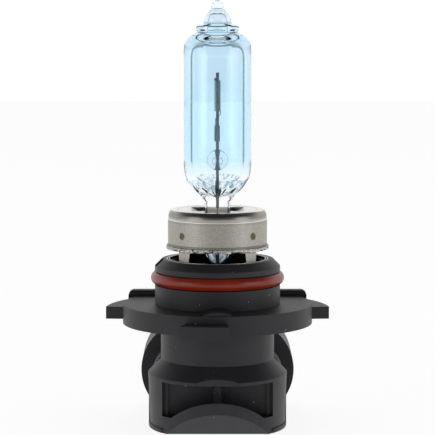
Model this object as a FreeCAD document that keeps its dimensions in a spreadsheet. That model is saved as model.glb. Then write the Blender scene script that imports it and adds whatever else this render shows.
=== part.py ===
import FreeCAD, Part
import math
import os
import Sketcher

# Headlight bulb with a twist-in three-lug cap. Millimetres, +Z along the bulb's axis towards the
# glass tip. The origin is on that axis, on the flange face that seats against the lamp. The plug
# socket opens towards +Y, and the moulded window in the elbow faces -Y.
#
# Depths are measured down from the seat face, heights up from it.

DIMENSIONS = {
    # clearances
    "fit_gap": 0.03,
    "ring_gap": 0.05,
    "seat_gap": 0.13,
    # cap: spigot, flange, neck and elbow body
    "hub_radius": 10.0,
    "hub_height": 7.15,
    "hub_chamfer": 1.1,
    "notch_depth": 0.4,
    "notch_width": 2.0,
    "notch_offset": 0.4,
    "hub_floor_height": 0.6,
    "hub_floor_thick": 2.6,
    "groove_low": 3.08,
    "groove_depth": 1.4,
    "groove_width": 2.14,
    "oring_section": 2.0,
    "flange_radius": 15.13,
    "flange_thick": 3.1,
    "lug_radius": 18.05,
    "lug_drop": 0.9,
    "front_lug_drop": 1.17,
    "lug_thick": 1.97,
    "side_lug_start": 5.5,
    "side_lug_end": 33.0,
    "front_lug_centre": 263.5,
    "front_lug_sweep": 24.5,
    "pad_height": 0.95,
    "pad_offset": 7.5,
    "pad_width": 1.8,
    "pad_half_length": 14.6,
    "nub_half_width": 2.4,
    "nub_height": 0.62,
    "nub_setback": 0.35,
    "neck_radius": 9.07,
    "neck_depth": 8.8,
    "shoulder_depth": 11.1,
    "body_radius": 11.13,
    "body_draft": 0.3,
    "base_depth": 19.85,
    "wall": 1.3,
    "front_flat": 0.5,
    "flat_low_depth": 12.0,
    "toe_height": 3.95,
    # window moulded in the front of the elbow
    "window_half_width": 8.72,
    "window_top_depth": 11.6,
    "window_drop": 3.0,
    "window_floor_inset": 5.6,
    "window_ledge": 1.8,
    "window_rib": 0.45,
    "window_rib_gap": 0.5,
    "window_rib_height": 0.5,
    "peg_width": 1.2,
    "peg_height": 1.5,
    "peg_drop": 0.6,
    # plug socket
    "socket_rise": 7.57,
    "socket_half_width": 12.55,
    "socket_half_height": 9.6,
    "socket_side_radius": 8.2,
    "elbow_half_width": 10.6,
    "elbow_half_height": 7.0,
    "elbow_side_radius": 5.2,
    "socket_start": 8.0,
    "socket_length": 11.5,
    "socket_wall": 1.35,
    "socket_floor": 2.0,
    "skirt_half_width": 11.05,
    "skirt_height": 4.9,
    "key_width": 1.6,
    "key_height": 1.2,
    "latch_width": 4.6,
    "latch_height": 1.1,
    "latch_length": 3.0,
    # terminals and what holds them
    "blade_spacing": 7.8,
    "blade_width": 2.8,
    "blade_thick": 0.8,
    "blade_reach": 7.2,
    "tab_top_depth": 4.6,
    "seal_radius": 5.0,
    "cavity_half_width": 8.8,
    "cavity_top_depth": 11.3,
    "cavity_rear": 6.7,
    "cover_thick": 0.75,
    "cover_lip": 0.25,
    "cover_front": 6.67,
    # glass capsule
    "tube_radius": 5.35,
    "tube_wall": 1.05,
    "tube_low": 21.2,
    "tube_high": 40.4,
    "shoulder_height": 42.95,
    "bead_radius": 3.38,
    "bead_height": 44.2,
    "bell_radius": 2.15,
    "bell_low": 44.6,
    "bell_top_radius": 1.72,
    "bell_high": 45.95,
    "tip_low": 46.75,
    "tip_round": 0.98,
    "tip_height": 48.15,
    "passage_radius": 1.6,
    "passage_mouth": 2.1,
    "passage_high": 45.1,
    "passage_end": 46.15,
    "cavity_high": 41.6,
    "cavity_low": 18.8,
    "press_half_thick": 1.97,
    "press_half_width": 3.5,
    "press_low": 6.5,
    "press_round": 1.85,
    "press_high": 17.9,
    "dome_end_height": 16.8,
    # mount: filament, leads, bridge, foils
    "coil_low": 30.65,
    "coil_length": 4.9,
    "coil_mean_radius": 0.47,
    "coil_turns": 22.5,
    "coil_wire": 0.14,
    "lead_wire": 0.5,
    "lead_spread": 1.75,
    "lead_reach": 1.15,
    "lead_bend_gap": 0.52,
    "lead_bend": 1.0,
    "long_lead_top": 36.8,
    "clamp_low": 25.8,
    "clamp_length": 2.5,
    "clamp_radius": 0.45,
    "short_lead_top": 28.6,
    "bridge_radius": 1.6,
    "bridge_length": 5.4,
    "bridge_height": 22.9,
    "foil_low": 8.6,
    "foil_high": 15.4,
    "foil_width": 2.1,
    "foil_thick": 0.08,
    "pin_wire": 0.6,
    "pin_end_depth": 8.6,
    "pin_bend_depth": 3.6,
    "pin_meet_depth": 6.0,
    # sheet metal collar and rings
    "sheet_thick": 0.35,
    "cup_radius": 7.9,
    "cup_low": 9.42,
    "cup_high": 15.05,
    "cup_round": 0.5,
    "cup_round_drop": 1.2,
    "cup_step_height": 13.7,
    "cup_step": 0.08,
    "cup_groove_inset": 1.55,
    "cup_groove_width": 0.36,
    "cup_groove_depth": 0.08,
    "finger_fold": 4.3,
    "finger_drop": 0.9,
    "finger_half_width": 3.3,
    "end_finger_fold": 6.2,
    "end_finger_drop": 1.3,
    "slit_width": 0.3,
    "slit_run": 0.3,
    "corner_slit_x": 3.9,
    "corner_slit_y": 4.95,
    "sleeve_low": 1.6,
    "sleeve_high": 12.6,
    "window_low": 6.75,
    "ledge_height": 9.0,
    "ledge_radius": 8.12,
    "leg_half_top": 1.4,
    "leg_half_foot": 1.05,
    "leg_angle": 45.0,
    "insert_low": 0.65,
    "insert_proud": 0.05,
    "insert_thick": 0.45,
}

doc = FreeCAD.newDocument("headlight_bulb")
dims = doc.addObject("Spreadsheet::Sheet", "dims")
for row, (alias, number) in enumerate(DIMENSIONS.items(), start=1):
    dims.set("A%d" % row, alias)
    dims.set("B%d" % row, str(number))
    dims.setAlias("B%d" % row, alias)
doc.recompute()


class Size:
    """A length or angle from the spreadsheet, or a sum on such sizes: its value and its expression."""

    def __init__(self, value, text):
        self.value = value
        self.text = text

    def joined(self, other, sign, value):
        return Size(value, "(%s %s %s)" % (self.text, sign, size(other).text))

    def __add__(self, other):
        return self.joined(other, "+", self.value + size(other).value)

    def __sub__(self, other):
        return self.joined(other, "-", self.value - size(other).value)

    def __mul__(self, other):
        return self.joined(other, "*", self.value * size(other).value)

    def __truediv__(self, other):
        return self.joined(other, "/", self.value / size(other).value)

    def __radd__(self, other):
        return size(other) + self

    def __rsub__(self, other):
        return size(other) - self

    def __rmul__(self, other):
        return size(other) * self

    def __neg__(self):
        return Size(-self.value, "(-1 * %s)" % self.text)


def size(number):
    """number as a Size, whether it is one already or a plain number."""
    return number if isinstance(number, Size) else Size(float(number), repr(float(number)))


def dim(alias):
    """The spreadsheet's value of that name."""
    return Size(float(dims.get(alias)), "dims." + alias)


def root(number):
    return Size(math.sqrt(number.value), "sqrt(%s)" % number.text)


def cosine(degrees):
    degrees = size(degrees)
    return Size(math.cos(math.radians(degrees.value)), "cos(%s)" % degrees.text)


def sine(degrees):
    degrees = size(degrees)
    return Size(math.sin(math.radians(degrees.value)), "sin(%s)" % degrees.text)


def bind(thing, **properties):
    """Ties properties of an object to spreadsheet sizes."""
    for name, value in properties.items():
        thing.setExpression(name, size(value).text)


# ---- sketches and features ------------------------------------------------------------------


def new_body(label):
    body = doc.addObject("PartDesign::Body", label)
    body.Label = label
    return body


def new_sketch(body, plane, height=None):
    """A sketch on one of the body's own origin planes, moved along the plane's normal by height."""
    sketch = body.newObject("Sketcher::SketchObject", "Sketch")
    origin = [f for f in body.Origin.OriginFeatures if f.Role == plane][0]
    sketch.AttachmentSupport = [(origin, "")]
    sketch.MapMode = "FlatFace"
    if height is not None:
        sketch.setExpression("AttachmentOffset.Base.z", size(height).text)
    return sketch


def place_point(sketch, geometry, point, x, y):
    """Fixes a sketch point at x, y from the sketch's origin."""
    for kind, value in (("DistanceX", size(x)), ("DistanceY", size(y))):
        index = sketch.addConstraint(
            Sketcher.Constraint(kind, -1, 1, geometry, point, value.value)
        )
        sketch.setExpression("Constraints[%d]" % index, value.text)


def arc_between(start, end, radius):
    """The shorter arc from start to end: it turns left for a positive radius, right for a negative one."""
    a = FreeCAD.Vector(start[0].value, start[1].value, 0)
    b = FreeCAD.Vector(end[0].value, end[1].value, 0)
    chord = b - a
    left = FreeCAD.Vector(-chord.y, chord.x, 0).normalize()
    reach = math.sqrt(max(radius**2 - (chord.Length / 2) ** 2, 0.0))
    centre = (a + b) * 0.5 + left * math.copysign(reach, radius)
    first, last = (a, b) if radius > 0 else (b, a)
    from_angle = math.atan2(first.y - centre.y, first.x - centre.x)
    to_angle = math.atan2(last.y - centre.y, last.x - centre.x)
    circle = Part.Circle(centre, FreeCAD.Vector(0, 0, 1), abs(radius))
    return Part.ArcOfCircle(circle, from_angle, to_angle)


def outline(sketch, corners):
    """A closed outline. A corner is (x, y), or (x, y, radius) where an arc goes on to the next corner."""
    corners = [tuple(size(v) for v in corner) for corner in corners]
    ends = []
    for here, following in zip(corners, corners[1:] + corners[:1]):
        if len(here) == 3:
            radius = here[2]
            index = sketch.addGeometry(arc_between(here, following, radius.value), False)
            limit = sketch.addConstraint(Sketcher.Constraint("Radius", index, abs(radius.value)))
            sketch.setExpression("Constraints[%d]" % limit, "abs(%s)" % radius.text)
            ends.append((index, 1, 2) if radius.value > 0 else (index, 2, 1))
        else:
            line = Part.LineSegment(
                FreeCAD.Vector(here[0].value, here[1].value, 0),
                FreeCAD.Vector(following[0].value, following[1].value, 0),
            )
            ends.append((sketch.addGeometry(line, False), 1, 2))
    for (index, start, _), corner in zip(ends, corners):
        place_point(sketch, index, start, corner[0], corner[1])
    for (index, _, end), (after, start, _) in zip(ends, ends[1:] + ends[:1]):
        sketch.addConstraint(Sketcher.Constraint("Coincident", index, end, after, start))


def circle(sketch, x, y, radius):
    """A full circle about x, y."""
    x, y, radius = size(x), size(y), size(radius)
    centre = FreeCAD.Vector(x.value, y.value, 0)
    index = sketch.addGeometry(
        Part.Circle(centre, FreeCAD.Vector(0, 0, 1), radius.value), False
    )
    place_point(sketch, index, 3, x, y)
    limit = sketch.addConstraint(Sketcher.Constraint("Radius", index, radius.value))
    sketch.setExpression("Constraints[%d]" % limit, radius.text)


def rectangle(sketch, left, right, low, high):
    outline(sketch, [(left, low), (right, low), (right, high), (left, high)])


def oval(sketch, half_width, half_height, side_radius, middle, flat_drop=None):
    """An oval of four tangent arcs centred on x = 0, y = middle, cut flat at flat_drop below its middle."""
    aside = half_width - side_radius
    above = half_height - side_radius
    low = (aside * aside - above * above) / (2 * above)
    top_radius = half_height + low
    reach = top_radius / (top_radius - side_radius)
    x, y = aside * reach, low * reach - low
    corners = [(x, middle - y, side_radius), (x, middle + y, top_radius)]
    corners += [(-x, middle + y, side_radius)]
    if flat_drop is None:
        corners.append((-x, middle - y, top_radius))
    else:
        flat = root(top_radius * top_radius - (flat_drop + low) * (flat_drop + low))
        corners.append((-x, middle - y, top_radius))
        corners.append((-flat, middle - flat_drop))
        corners.append((flat, middle - flat_drop, top_radius))
    outline(sketch, corners)


def feature(body, kind, sketch, **settings):
    """Adds a feature made from a sketch. Settings that are sizes are bound, the others are set."""
    made = body.newObject("PartDesign::" + kind, kind)
    made.Profile = sketch
    for name, value in settings.items():
        if isinstance(value, Size):
            setattr(made, name, value.value)
            made.setExpression(name, value.text)
        else:
            setattr(made, name, value)
    body.Tip = made
    return checked(made)


def checked(made):
    """Recomputes, and stops at a feature that could not be made."""
    doc.recompute()
    if "Invalid" in made.State or "Error" in made.State or made.Shape.isNull():
        raise RuntimeError("%s could not be made" % made.Name)
    return made


def pad(body, sketch, length, **settings):
    return feature(body, "Pad", sketch, Length=size(length), **settings)


def cut_volume(body, make):
    """Runs make, which adds a cutting feature, and stops if it took nothing away."""
    before = body.Shape.Volume
    made = make()
    if not body.Shape.isValid() or before - body.Shape.Volume < 1e-4:
        raise RuntimeError("%s: %s cuts nothing" % (body.Label, made.Name))
    return made


def pocket(body, sketch, length, **settings):
    return cut_volume(
        body, lambda: feature(body, "Pocket", sketch, Length=size(length), **settings)
    )


def turn(body, corners, kind="Revolution"):
    """Turns an outline of (radius, height) corners about the bulb's axis."""
    sketch = new_sketch(body, "XZ_Plane")
    outline(sketch, corners)
    settings = {"ReferenceAxis": (sketch, ["V_Axis"]), "Angle": 360.0}
    if kind == "Revolution":
        return feature(body, kind, sketch, **settings)
    return cut_volume(body, lambda: feature(body, kind, sketch, **settings))


def around(body, original, count):
    """Repeats a feature evenly about the bulb's axis."""
    pattern = body.newObject("PartDesign::PolarPattern", "PolarPattern")
    pattern.Originals = [original]
    axis = [f for f in body.Origin.OriginFeatures if f.Role == "Z_Axis"][0]
    pattern.Axis = (axis, [""])
    pattern.Angle = 360.0
    pattern.Occurrences = count
    body.Tip = pattern
    return checked(pattern)


def edges_where(body, test):
    """Names of the body's edges whose middle point passes the test."""
    found = []
    for number, edge in enumerate(body.Shape.Edges, start=1):
        middle = edge.valueAt((edge.FirstParameter + edge.LastParameter) / 2)
        if test(edge, middle):
            found.append("Edge%d" % number)
    return found


def round_edges(body, radius, test, kind="Fillet"):
    """Fillets or chamfers the edges that pass the test."""
    names = edges_where(body, test)
    if not names:
        raise RuntimeError("%s: no edge to round" % body.Label)
    base = body.Tip
    made = body.newObject("PartDesign::" + kind, kind)
    made.Base = (base, names)
    name = "Radius" if kind == "Fillet" else "Size"
    radius = size(radius)
    setattr(made, name, radius.value)
    made.setExpression(name, radius.text)
    body.Tip = made
    return checked(made)


def near(a, b, reach=0.02):
    return abs(a - size(b).value) < reach


def wire_path(points, bend):
    """A path of straight runs joined by tangent arcs of radius bend."""
    edges = []
    start = points[0]
    for before, corner, after in zip(points, points[1:], points[2:]):
        into = (corner - before).normalize()
        out = (after - corner).normalize()
        half_turn = into.getAngle(out) / 2
        trim = bend * math.tan(half_turn)
        first, last = corner - into * trim, corner + out * trim
        middle_way = (out - into).normalize()
        centre = corner + middle_way * (bend / math.cos(half_turn))
        middle = centre - middle_way * bend
        edges.append(Part.LineSegment(start, first).toShape())
        edges.append(Part.Arc(first, middle, last).toShape())
        start = last
    edges.append(Part.LineSegment(start, points[-1]).toShape())
    return Part.Wire(edges)


def wire_along(path, radius):
    """A round wire of that radius along a path."""
    start = path.Edges[0].valueAt(path.Edges[0].FirstParameter)
    direction = path.Edges[0].tangentAt(path.Edges[0].FirstParameter)
    section = Part.Wire(Part.makeCircle(radius, start, direction))
    return path.makePipeShell([section], True, False)


def new_solid(label, shape):
    """A sub-part whose shape is made with Part's own functions."""
    solid = doc.addObject("Part::Feature", label)
    solid.Label = label
    solid.Shape = shape
    return solid


# ---- shared places --------------------------------------------------------------------------

fit_gap = dim("fit_gap")
hub_radius = dim("hub_radius")
hub_height = dim("hub_height")
groove_floor_radius = hub_radius - dim("groove_depth")
groove_low = dim("groove_low")
groove_high = groove_low + dim("groove_width")
flange_radius = dim("flange_radius")
flange_thick = dim("flange_thick")
lug_radius = dim("lug_radius")
neck_radius = dim("neck_radius")
body_radius = dim("body_radius")
foot_radius = body_radius - dim("body_draft")
base_depth = dim("base_depth")
wall = dim("wall")
hub_floor_height = dim("hub_floor_height")
hub_floor_low = hub_floor_height - dim("hub_floor_thick")
socket_flat = dim("socket_rise")
socket_middle = socket_flat - base_depth
socket_start = dim("socket_start")
socket_end = socket_start + dim("socket_length")
socket_floor_end = socket_start + dim("socket_floor")
socket_half_width = dim("socket_half_width")
socket_half_height = dim("socket_half_height")
socket_wall = dim("socket_wall")
window_floor = dim("window_floor_inset")
window_top = -dim("window_top_depth")
cover_thick = dim("cover_thick")
cover_top = -base_depth + cover_thick
skirt_half_width = dim("skirt_half_width")
skirt_top = -base_depth + dim("skirt_height")
toe_height = dim("toe_height")
front_face = body_radius - dim("front_flat")
blade_offset = dim("blade_spacing") / 2
blade_half = dim("blade_width") / 2
blade_thick = dim("blade_thick")
lead_spread = dim("lead_spread")
lead_reach = dim("lead_reach")
lead_radius = dim("lead_wire") / 2
pin_radius = dim("pin_wire") / 2
foil_low = dim("foil_low")
foil_high = dim("foil_high")
sheet_thick = dim("sheet_thick")
press_half_thick = dim("press_half_thick")
press_half_width = dim("press_half_width")
cup_radius = dim("cup_radius")
cup_low = dim("cup_low")
cup_high = dim("cup_high")
cup_bore = cup_radius - sheet_thick
sleeve_radius = cup_bore - fit_gap
hub_bore = sleeve_radius + dim("seat_gap") + dim("insert_thick")


# ---- cap ------------------------------------------------------------------------------------


def add_lugs(housing):
    """Three bayonet lugs: two at the sides and a narrower one at the front, off centre as a key."""
    start, end = dim("side_lug_start"), dim("side_lug_end")
    front, sweep = dim("front_lug_centre"), dim("front_lug_sweep")
    side_drop = dim("lug_drop")
    spans = [
        (start, end, side_drop),
        (180 - end, 180 - start, side_drop),
        (front - sweep / 2, front + sweep / 2, dim("front_lug_drop")),
    ]
    root_radius = flange_radius - 2.0
    for low, high, drop in spans:
        sketch = new_sketch(housing, "XY_Plane", -drop - dim("lug_thick"))
        outline(
            sketch,
            [
                (root_radius * cosine(low), root_radius * sine(low)),
                (lug_radius * cosine(low), lug_radius * sine(low), lug_radius),
                (lug_radius * cosine(high), lug_radius * sine(high)),
                (root_radius * cosine(high), root_radius * sine(high)),
            ],
        )
        pad(housing, sketch, dim("lug_thick"))


def add_seat_pads(housing):
    """The raised bar behind the spigot and the half-round nub in front of it."""
    offset = dim("pad_offset")
    half = dim("pad_half_length")
    rise = dim("pad_height")
    edge = rise * 0.6
    sketch = new_sketch(housing, "YZ_Plane")
    outline(
        sketch,
        [
            (offset + edge, rise, edge),
            (offset, rise - edge),
            (offset, -dim("lug_drop")),
            (offset + dim("pad_width"), -dim("lug_drop")),
            (offset + dim("pad_width"), rise),
        ],
    )
    pad(housing, sketch, 2 * half, SideType="Symmetric")
    for side in (-1, 1):
        sketch = new_sketch(housing, "XZ_Plane", -offset + 0.5)
        outline(
            sketch,
            [
                (side * (half - rise), rise, -side * rise),
                (side * half, size(0)),
                (side * (half + 1), size(0)),
                (side * (half + 1), rise + 1),
                (side * (half - rise), rise + 1),
            ],
        )
        pocket(housing, sketch, dim("pad_width") + 1)
    nub = dim("nub_half_width")
    rise = dim("nub_height")
    curve = (nub * nub + rise * rise) / (2 * rise)
    sketch = new_sketch(housing, "XZ_Plane", hub_radius - 0.5)
    outline(sketch, [(nub, -0.5), (nub, size(0), curve), (-nub, size(0)), (-nub, -0.5)])
    pad(housing, sketch, flange_radius - hub_radius + 0.5 - dim("nub_setback"))


def add_elbow(housing):
    """The elbow's rear skirt, the tube behind it and the plug socket's shroud."""
    sketch = new_sketch(housing, "XY_Plane", cover_top)
    rectangle(sketch, -skirt_half_width, skirt_half_width, size(0), socket_start)
    pad(housing, sketch, skirt_top - cover_top)
    sketch = new_sketch(housing, "XZ_Plane")
    half_width, half_height = dim("elbow_half_width"), dim("elbow_half_height")
    oval(sketch, half_width, half_height, dim("elbow_side_radius"), socket_middle,
         socket_flat - cover_thick)
    pad(housing, sketch, socket_start + 0.5, Reversed=True)
    sketch = new_sketch(housing, "XZ_Plane", -socket_start)
    oval(sketch, socket_half_width, socket_half_height, dim("socket_side_radius"), socket_middle,
         socket_flat)
    pad(housing, sketch, dim("socket_length"), Reversed=True)
    top = socket_middle + socket_half_height
    rise, reach = dim("latch_height"), dim("latch_length")
    sketch = new_sketch(housing, "YZ_Plane")
    outline(
        sketch,
        [
            (socket_end - 1.6 - reach, top - 0.4),
            (socket_end - 1.2, top - 0.4),
            (socket_end - 1.2, top + 0.1),
            (socket_end - 1.2 - reach, top + rise),
            (socket_end - 1.6 - reach, top + rise),
        ],
    )
    pad(housing, sketch, dim("latch_width"), SideType="Symmetric")


def cut_notch(housing):
    """The small notch in the spigot's chamfer, on the left."""
    depth, width = dim("notch_depth"), dim("notch_width")
    chamfer = dim("hub_chamfer")
    inner = hub_radius - chamfer - depth
    sketch = new_sketch(housing, "XZ_Plane", dim("notch_offset") + width)
    outline(
        sketch,
        [
            (-inner - chamfer, hub_height - chamfer),
            (-inner, hub_height),
            (-inner, hub_height + 1),
            (-hub_radius - 1, hub_height + 1),
            (-hub_radius - 1, hub_height - chamfer),
        ],
    )
    pocket(housing, sketch, width)


def cut_toe(body):
    """The sloping cut across the foot of the elbow's front."""
    toe_back = -body_radius + toe_height
    sketch = new_sketch(body, "YZ_Plane")
    outline(
        sketch,
        [
            (-body_radius - 1, -base_depth + toe_height + 1),
            (-body_radius - 1, -base_depth - 1),
            (toe_back + 1, -base_depth - 1),
        ],
    )
    pocket(body, sketch, 3 * body_radius, SideType="Symmetric")


def shape_front(housing):
    """The flat and the sloping toe on the elbow's front, and the moulded window with its ribs and peg."""
    sketch = new_sketch(housing, "XY_Plane", -dim("flat_low_depth"))
    rectangle(sketch, -body_radius, body_radius, -body_radius - 1, -front_face)
    pocket(housing, sketch, dim("flat_low_depth") - dim("neck_depth"), Reversed=True)
    cut_toe(housing)
    half = dim("window_half_width")
    ledge = -base_depth + toe_height + dim("window_ledge")
    foot = ledge - dim("window_drop")
    sketch = new_sketch(housing, "YZ_Plane")
    outline(
        sketch,
        [
            (-window_floor, window_top),
            (-body_radius - 1, window_top),
            (-body_radius - 1, ledge + 1),
            (-body_radius + ledge - foot, foot),
            (-window_floor, foot),
        ],
    )
    pocket(housing, sketch, 2 * half, SideType="Symmetric")
    rib, gap = dim("window_rib"), dim("window_rib_gap")
    for left in (-half + gap, half - gap - rib):
        sketch = new_sketch(housing, "XZ_Plane", window_floor - 0.3)
        rectangle(sketch, left, left + rib, foot - 0.1, window_top + 0.2)
        pad(housing, sketch, dim("window_rib_height") + 0.3)
    peg = dim("peg_width") / 2
    peg_top = window_top - dim("peg_drop") - peg
    sketch = new_sketch(housing, "XZ_Plane", window_floor - 0.3)
    outline(
        sketch,
        [
            (-peg, foot - 0.1),
            (peg, foot - 0.1),
            (peg, peg_top, peg),
            (0, peg_top + peg, peg),
            (-peg, peg_top),
        ],
    )
    pad(housing, sketch, dim("peg_height") + 0.3)


def hollow_housing(housing):
    """The hub's bore, the seal's seat, the room for the leads, and the plug socket's cavity and slots."""
    seal = dim("seal_radius")
    neck_bore = neck_radius - wall
    neck_end = -dim("cavity_top_depth") - 0.2
    bores = [
        (hub_bore, hub_height + 1, hub_floor_height),
        (seal, hub_floor_height + 1, hub_floor_low - 1),
        (neck_bore, hub_floor_low, neck_end),
    ]
    for radius, high, low in bores:
        turn(housing, [(0, low), (radius, low), (radius, high), (0, high)], "Groove")
    half = dim("cavity_half_width")
    sketch = new_sketch(housing, "XY_Plane", -base_depth - 1)
    rectangle(sketch, -half, half, wall - window_floor, dim("cavity_rear"))
    pocket(housing, sketch, base_depth + 1 - dim("cavity_top_depth"), Reversed=True)
    sketch = new_sketch(housing, "XZ_Plane", -socket_end - 1)
    oval(sketch, socket_half_width - socket_wall, socket_half_height - socket_wall,
         dim("socket_side_radius") - socket_wall, socket_middle, socket_flat - socket_wall)
    pocket(housing, sketch, socket_end + 1 - socket_floor_end, Reversed=True)
    slot_half, slot_rise = blade_half + fit_gap, blade_thick / 2 + fit_gap
    for side in (-1, 1):
        middle = side * blade_offset
        sketch = new_sketch(housing, "XZ_Plane", -socket_floor_end - 1)
        rectangle(sketch, middle - slot_half, middle + slot_half,
                  socket_middle - slot_rise, socket_middle + slot_rise)
        pocket(housing, sketch, socket_floor_end + 2 - dim("cavity_rear"), Reversed=True)


def add_keys(housing):
    """Three keys inside the plug socket that pair it with its own plug."""
    width, rise = dim("key_width"), dim("key_height")
    inner_top = socket_middle + socket_half_height - socket_wall
    inner_low = socket_middle - socket_flat + socket_wall
    keys = [(-3.2, inner_low - 0.3, inner_low + rise), (3.2, inner_low - 0.3, inner_low + rise)]
    keys.append((size(0), inner_top - rise, inner_top + 0.5))
    for middle, low, high in keys:
        sketch = new_sketch(housing, "XZ_Plane", -socket_floor_end + 0.2)
        rectangle(sketch, middle - width / 2, middle + width / 2, low, high)
        pad(housing, sketch, dim("socket_length") - dim("socket_floor") - 1.5, Reversed=True)


def make_housing():
    """The moulded cap: spigot, flange with lugs, neck, elbow and plug socket in one piece."""
    housing = new_body("housing")
    chamfer = dim("hub_chamfer")
    turn(
        housing,
        [
            (0, -base_depth),
            (foot_radius, -base_depth),
            (body_radius, -dim("shoulder_depth")),
            (neck_radius, -dim("neck_depth")),
            (neck_radius, -flange_thick),
            (flange_radius, -flange_thick),
            (flange_radius, 0),
            (hub_radius, 0),
            (hub_radius, groove_low),
            (groove_floor_radius, groove_low),
            (groove_floor_radius, groove_high),
            (hub_radius, groove_high),
            (hub_radius, hub_height - chamfer),
            (hub_radius - chamfer, hub_height),
            (0, hub_height),
        ],
    )
    sketch = new_sketch(housing, "XY_Plane", -base_depth)
    rectangle(sketch, -body_radius, body_radius, -dim("cover_front"), body_radius)
    pocket(housing, sketch, cover_thick, Reversed=True)
    add_lugs(housing)
    add_elbow(housing)
    add_seat_pads(housing)
    cut_notch(housing)
    shape_front(housing)
    hollow_housing(housing)
    add_keys(housing)
    return housing


def make_o_ring():
    """The seal ring, seated in the spigot's groove."""
    ring = doc.addObject("Part::Torus", "o_ring")
    ring.Label = "o_ring"
    section = dim("oring_section") / 2
    bind(ring, Radius1=groove_floor_radius + dim("ring_gap") + section, Radius2=section)
    ring.setExpression("Placement.Base.z", ((groove_low + groove_high) / 2).text)
    return ring


def make_cover():
    """The lid that closes the elbow's underside."""
    cover = new_body("cover")
    sketch = new_sketch(cover, "XY_Plane", -base_depth)
    radius = foot_radius + dim("cover_lip")
    front = dim("cover_front") - fit_gap
    corner = root(radius * radius - front * front)
    outline(
        sketch,
        [
            (-radius, size(0), radius),
            (-corner, -front),
            (corner, -front, radius),
            (radius, size(0)),
            (radius, socket_start - fit_gap),
            (-radius, socket_start - fit_gap),
        ],
    )
    pad(cover, sketch, cover_thick)
    return cover


def make_terminal(side):
    """A plug blade with a tab, standing in the elbow, for its lead wire. side is -1 or 1."""
    label = "terminal_left" if side < 0 else "terminal_right"
    terminal = new_body(label)
    middle = side * blade_offset
    sketch = new_sketch(terminal, "YZ_Plane", middle)
    low, high = socket_middle - blade_thick / 2, socket_middle + blade_thick / 2
    reach = socket_floor_end + dim("blade_reach")
    nose = blade_thick * 0.35
    outline(
        sketch,
        [
            (0, low),
            (reach - 2 * nose, low),
            (reach, low + nose),
            (reach, high - nose),
            (reach - 2 * nose, high),
            (blade_thick, high),
            (blade_thick, -dim("tab_top_depth")),
            (0, -dim("tab_top_depth")),
        ],
    )
    pad(terminal, sketch, dim("blade_width"), SideType="Symmetric")
    return terminal


def make_lead_seal():
    """The cast seal that closes the cap's floor round the two lead wires."""
    seal = new_body("lead_seal")
    sketch = new_sketch(seal, "XY_Plane", hub_floor_low)
    circle(sketch, 0, 0, dim("seal_radius"))
    for side in (-1, 1):
        circle(sketch, 0, side * lead_spread, pin_radius)
    pad(seal, sketch, dim("hub_floor_thick"))
    return seal


# ---- collar ---------------------------------------------------------------------------------


def make_cup():
    """The stainless cup that grips the glass pinch with fingers bent down from a cross-shaped opening."""
    cup = new_body("cup")
    bend, bend_drop = dim("cup_round"), dim("cup_round_drop")
    step, step_height = dim("cup_step"), dim("cup_step_height")
    shoulder = cup_high - bend_drop
    land = cup_radius - step - bend
    curve = bend_drop * 1.1
    turn(
        cup,
        [
            (0, cup_high - sheet_thick),
            (land - sheet_thick * 0.5, cup_high - sheet_thick, -curve),
            (cup_bore - step, shoulder),
            (cup_bore - step, step_height),
            (cup_bore, step_height - step),
            (cup_bore, cup_low),
            (cup_radius, cup_low),
            (cup_radius, step_height - step),
            (cup_radius - step, step_height),
            (cup_radius - step, shoulder, curve),
            (land, cup_high),
            (0, cup_high),
        ],
    )
    groove, groove_half = cup_radius - dim("cup_groove_inset"), dim("cup_groove_width") / 2
    turn(
        cup,
        [
            (groove, cup_high - dim("cup_groove_depth")),
            (groove + groove_half, cup_high),
            (groove + groove_half, cup_high + 1),
            (groove - groove_half, cup_high + 1),
            (groove - groove_half, cup_high),
        ],
        "Groove",
    )
    side_fold, end_fold = dim("finger_fold"), dim("end_finger_fold")
    side_half, end_half = dim("finger_half_width"), press_half_thick + fit_gap
    sketch = new_sketch(cup, "XY_Plane", cup_high + 1)
    rectangle(sketch, -side_fold, side_fold, -side_half - fit_gap, side_half + fit_gap)
    pocket(cup, sketch, sheet_thick + 2)
    sketch = new_sketch(cup, "XY_Plane", cup_high + 1)
    rectangle(sketch, -end_half - fit_gap, end_half + fit_gap, -end_fold, end_fold)
    pocket(cup, sketch, sheet_thick + 2)
    add_fingers(cup, "XZ_Plane", press_half_thick, side_fold, dim("finger_drop"), side_half)
    add_fingers(cup, "YZ_Plane", press_half_width, end_fold, dim("end_finger_drop"), end_half)
    slit = dim("slit_width") / 2
    reach = side_fold + dim("slit_run")
    sketch = new_sketch(cup, "XY_Plane", cup_high + 1)
    rectangle(sketch, -reach, reach, -slit, slit)
    pocket(cup, sketch, dim("finger_drop") + 2)
    far_x, far_y = dim("corner_slit_x"), dim("corner_slit_y")
    for side in (-1, 1):
        sketch = new_sketch(cup, "XY_Plane", cup_high + 1)
        outline(
            sketch,
            [
                (-side * (far_x - slit), -far_y - slit),
                (-side * far_x, -far_y),
                (side * (far_x - slit), far_y + slit),
                (side * far_x, far_y),
            ],
        )
        pocket(cup, sketch, sheet_thick + 1)
    return cup


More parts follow.
